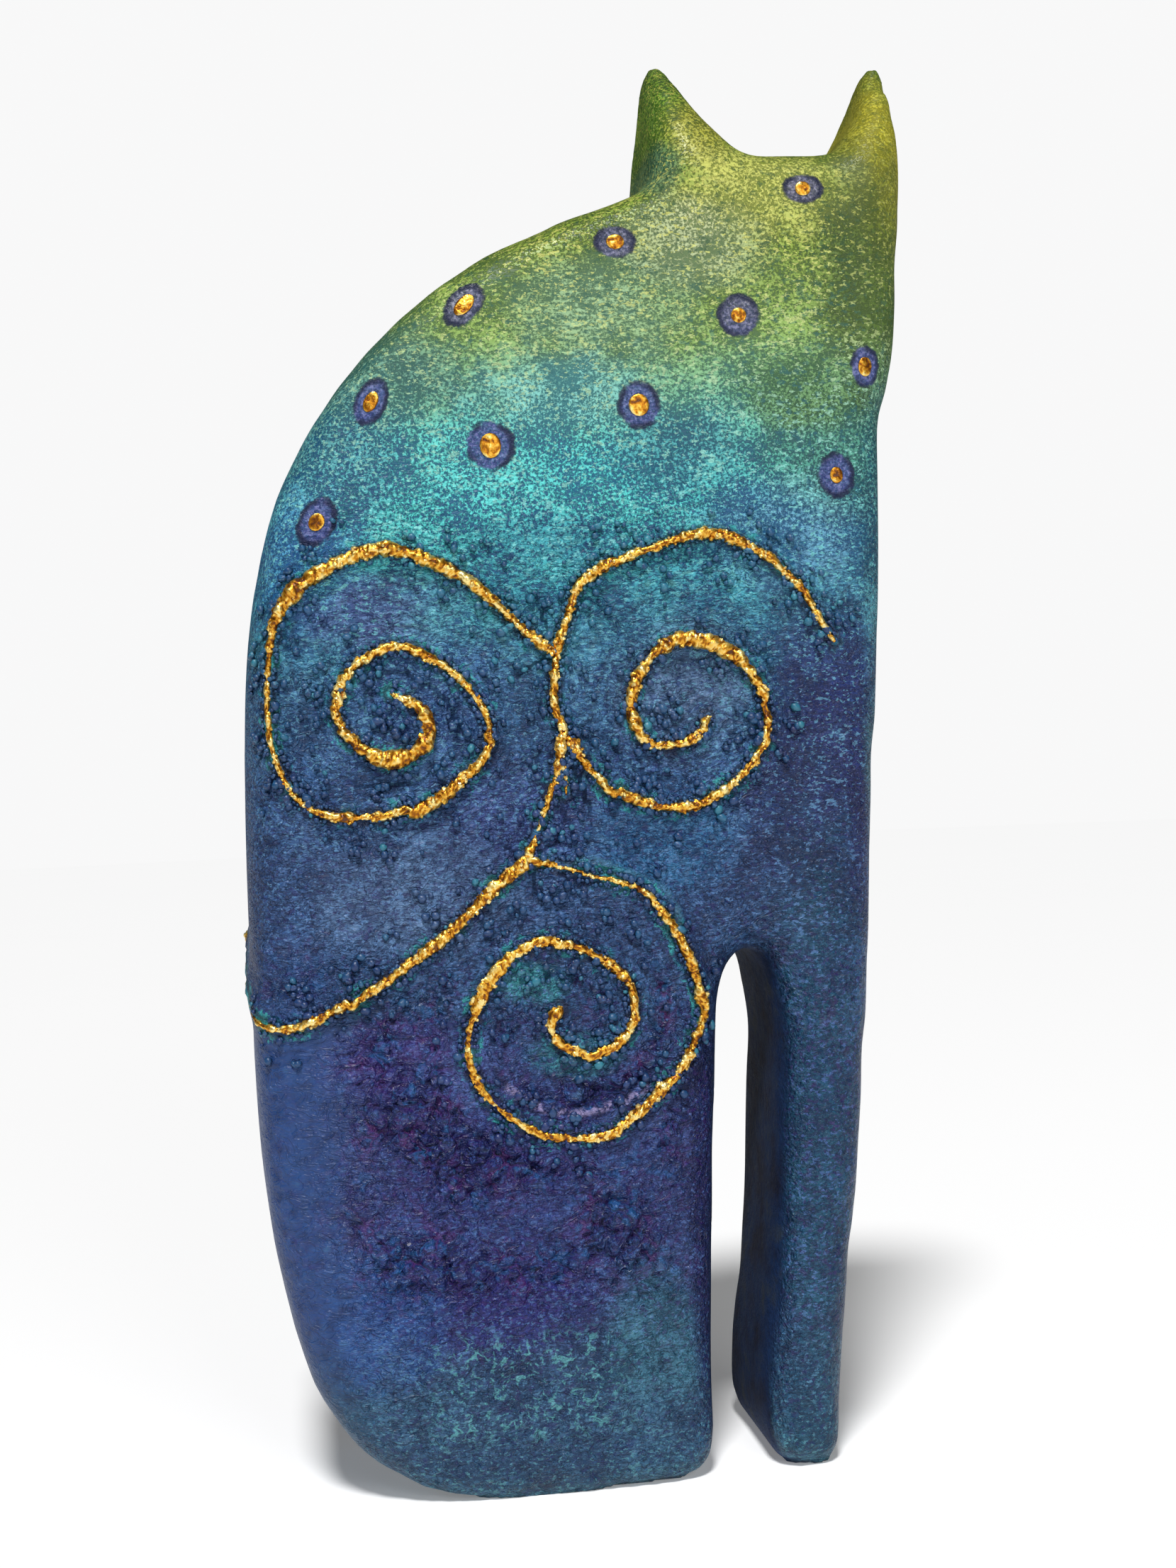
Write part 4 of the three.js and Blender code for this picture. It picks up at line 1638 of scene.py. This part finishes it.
@dataclass
class Grit:
    """Nodules of paste scattered beside the gilded lines.

    Attributes:
        skin: Surface that they stick to.
        paths: Lines that they fell from.
        draw: Source of their random numbers.
        every: Length of line for each nodule.
        crumb_every: Length of line for each crumb at the bead's foot.
        reach: How far from the line the nodules lie.
        sizes: Least and greatest half width of a nodule.
        crumb_sizes: Least and greatest half width of a crumb.
        sideways: Least share of the surface's normal across the slab, below which nothing sticks.
        envelope: Box that they are held in.
    """

    skin: Skin
    paths: list[Path]
    draw: random.Random
    every: float = 0.8
    crumb_every: float = 0.45
    reach: float = 9.0
    sizes: tuple[float, float] = (0.55, 1.2)
    crumb_sizes: tuple[float, float] = (0.35, 0.75)
    sideways: float = 0.45
    envelope: Envelope = field(default_factory=Envelope)

    def build(self, finish: Material) -> bpy.types.Object:
        """Makes all the nodules as one piece.

        Args:
            finish: Their paint.

        Returns:
            The piece.
        """
        pebble = bmesh.new()
        bmesh.ops.create_uvsphere(pebble, u_segments=7, v_segments=5, radius=1.0)
        crumb = bmesh.new()
        bmesh.ops.create_icosphere(crumb, subdivisions=1, radius=1.0)
        forms = [made_mesh("grit_form", form) for form in (pebble, crumb)]
        body = bmesh.new()
        for name in ("tint", "foot"):
            body.verts.layers.float.new(name)
        for path in self.paths:
            length = path.along()[-1]
            spot: Vector | None = None
            for _ in range(round(length / self.every)):
                clustered = spot is not None and self.draw.random() < 0.5
                if clustered:
                    spot = spot + Vector([self.draw.uniform(-2.2, 2.2) for _ in range(3)])
                else:
                    off = 1.6 + self.reach * self.draw.random() ** 1.9
                    spot = self._beside(path, off)
                self._stamp(body, forms[0], spot, self.sizes)
            for _ in range(round(length / self.crumb_every)):
                beside = self._beside(path, self.draw.uniform(0.9, 2.3))
                self._stamp(body, forms[1], beside, self.crumb_sizes)
        mesh = made_mesh("paste_grit", body)
        for form in forms:
            bpy.data.meshes.remove(form)
        write_points(mesh, self.envelope.hold(read_points(mesh)))
        mesh.shade_smooth()
        return close_piece("paste_grit", mesh, finish)

    def _beside(self, path: Path, off: float) -> Vector:
        """Chooses a place beside a line.

        Args:
            path: Line that it lies by.
            off: Distance from the line's middle.

        Returns:
            The place, near the surface.
        """
        step = self.draw.randrange(1, len(path.points) - 1)
        ahead = Vector(path.points[step + 1] - path.points[step - 1]).normalized()
        across = Vector(path.normals[step]).cross(ahead)
        return Vector(path.points[step]) + across * off * self.draw.choice((-1, 1))

    def _stamp(self, body: bmesh.types.BMesh, form: Mesh, spot: Vector, sizes: tuple[float, float]) -> None:
        """Sticks one nodule on the surface and stores how pale it is and where its foot is.

        Args:
            body: Mesh to add it to.
            form: Plain form of the nodule.
            spot: Place near the surface.
            sizes: Least and greatest half width.
        """
        size = self.draw.uniform(*sizes)
        shade = self.draw.random()
        place, normal = self.skin.nearest(spot)
        if abs(normal.y) < self.sideways:
            return
        turn = Vector((0, 0, 1)).rotation_difference(normal).to_matrix().to_4x4()
        turn = turn @ Matrix.Rotation(self.draw.uniform(0, math.tau), 4, "Z")
        wide = size * self.draw.uniform(0.75, 1.35)
        stretch = Matrix.Diagonal((size, wide, size * self.draw.uniform(0.7, 1.0), 1))
        move = Matrix.Translation((place + normal * size * 0.55) * MM) @ turn @ stretch
        tint, foot = body.verts.layers.float["tint"], body.verts.layers.float["foot"]
        count = len(body.verts)
        body.from_mesh(form, face_normals=False, vertex_normals=False)
        body.verts.ensure_lookup_table()
        for vertex in body.verts[count:]:
            rough = Vector([self.draw.uniform(-0.16, 0.16) for _ in range(3)])
            vertex[tint] = shade
            # This value is 1 at the nodule's base, where the grit's colour gets painted shadow.
            vertex[foot] = min(1.0, max(0.0, 0.45 - vertex.co.z))
            vertex.co = move @ ((vertex.co + rough) * MM)


@dataclass
class Studio:
    """Pale floor, soft lights and the camera at the photograph's viewing angle.

    Attributes:
        camera_place: Where the camera is, in millimetres.
        heading: Degrees that it is turned to the right.
        roll: Degrees that it is tilted sideways.
        lens: Its focal length.
        sensor: Width of its sensor.
        floor_radius: Radius of the floor in metres.
        key_power: Strength of the key light.
        key_width: Degrees that it is wide, which softens the shadow.
        key_way: Direction in which it shines.
        softbox_place: Where the softbox is, in metres.
        softbox_aim: Where it points, in metres.
        softbox_size: Width of its square in metres.
        softbox_power: Its power in watts.
        room_light: Strength of the light from all round.
        backdrop: Colour of the surroundings that the camera sees.
    """

    camera_place: Triple = (-77.9, -565.7, 182.3)
    heading: float = 8.0
    roll: float = 2.5
    lens: float = 48.01
    sensor: float = 36.0
    floor_radius: float = 6.0
    key_power: float = 2.9
    key_width: float = 10.0
    key_way: Triple = (0.14, 0.56, -1.0)
    softbox_place: Triple = (0.27, -1.17, 0.64)
    softbox_aim: Triple = (0.03, 0.0, 0.32)
    softbox_size: float = 0.4
    softbox_power: float = 3.0
    room_light: float = 0.3
    backdrop: Triple = (0.94, 0.94, 0.942)

    def floor(self) -> bpy.types.Object:
        """Lays a wide round floor.

        Returns:
            The floor.
        """
        body = bmesh.new()
        bmesh.ops.create_circle(body, cap_ends=True, segments=96, radius=self.floor_radius)
        mesh = made_mesh("floor", body)
        mesh.materials.append(FloorFinish().material())
        made = add_object("floor", mesh)
        return made

    def lights(self) -> None:
        """Hangs the key light and the softbox."""
        key = bpy.data.lights.new("key", "SUN")
        key.energy = self.key_power
        key.angle = math.radians(self.key_width)
        self._hang(key, Vector(self.key_way))
        softbox = bpy.data.lights.new("head_softbox", "AREA")
        softbox.size = self.softbox_size
        softbox.energy = self.softbox_power
        place = Vector(self.softbox_place)
        self._hang(softbox, Vector(self.softbox_aim) - place).location = place

    @staticmethod
    def _hang(light: bpy.types.Light, way: Vector) -> bpy.types.Object:
        """Turns a light the way that it shines.

        Args:
            light: The light.
            way: Direction in which it shines.

        Returns:
            The object that holds it.
        """
        hung = bpy.data.objects.new(light.name, light)
        hung.rotation_euler = way.to_track_quat("-Z", "Y").to_euler()
        bpy.context.scene.collection.objects.link(hung)
        return hung

    def surroundings(self) -> None:
        """Lights the scene dimly from all round and shows the camera a pale backdrop."""
        world = bpy.data.worlds.new("pale_room")
        world.use_nodes = True
        tree = world.node_tree
        dim = tree.nodes["Background"]
        dim.inputs["Strength"].default_value = self.room_light
        pale = tree.nodes.new("ShaderNodeBackground")
        pale.inputs["Color"].default_value = (*self.backdrop, 1.0)
        choose = tree.nodes.new("ShaderNodeMixShader")
        rays = tree.nodes.new("ShaderNodeLightPath")
        tree.links.new(rays.outputs["Is Camera Ray"], choose.inputs[0])
        tree.links.new(dim.outputs[0], choose.inputs[1])
        tree.links.new(pale.outputs[0], choose.inputs[2])
        tree.links.new(choose.outputs[0], tree.nodes["World Output"].inputs[0])
        bpy.context.scene.world = world

    def camera(self) -> bpy.types.Object:
        """Places the camera.

        Returns:
            The camera.
        """
        data = bpy.data.cameras.new("camera")
        data.lens = self.lens
        data.sensor_width = self.sensor
        made = bpy.data.objects.new("camera", data)
        turn = Matrix.Rotation(-math.radians(self.heading), 4, "Z") @ Matrix.Rotation(math.pi / 2, 4, "X")
        tilt = Matrix.Rotation(-math.radians(self.roll), 4, "Z")
        made.matrix_world = Matrix.Translation(Vector(self.camera_place) * MM) @ turn @ tilt
        bpy.context.scene.collection.objects.link(made)
        bpy.context.scene.camera = made
        bpy.context.scene.view_settings.view_transform = "Standard"
        return made


def report(piece: bpy.types.Object) -> None:
    """Logs a piece's name and number of faces."""
    log.info("%s: %d faces", piece.name, len(piece.data.polygons))


def main() -> None:
    """Builds the cat, its gilding and its studio."""
    logging.basicConfig(level=logging.INFO, format="%(name)s %(relativeCreated)d ms %(message)s")
    draw = random.Random(SEED)
    studio = Studio()
    studio.camera()
    studio.floor()
    studio.lights()
    studio.surroundings()

    casting = Casting()
    mesh = casting.shape()
    skin = Skin(mesh)
    paths = [Path.laid(line, skin) for line in LINES]
    ridges = [Path.laid(line, skin) for line in RIDGES]
    casting.work(mesh, paths, ridges)
    worked = Skin(mesh)
    report(casting.dress(mesh))

    gold = GiltFinish().material()
    for path in paths:
        report(GildedBead(path, draw).build(gold))
    report(GildedDabs(skin).build(gold))
    report(Grit(worked, paths, draw).build(GritFinish().material()))


if __name__ == "__main__":
    main()
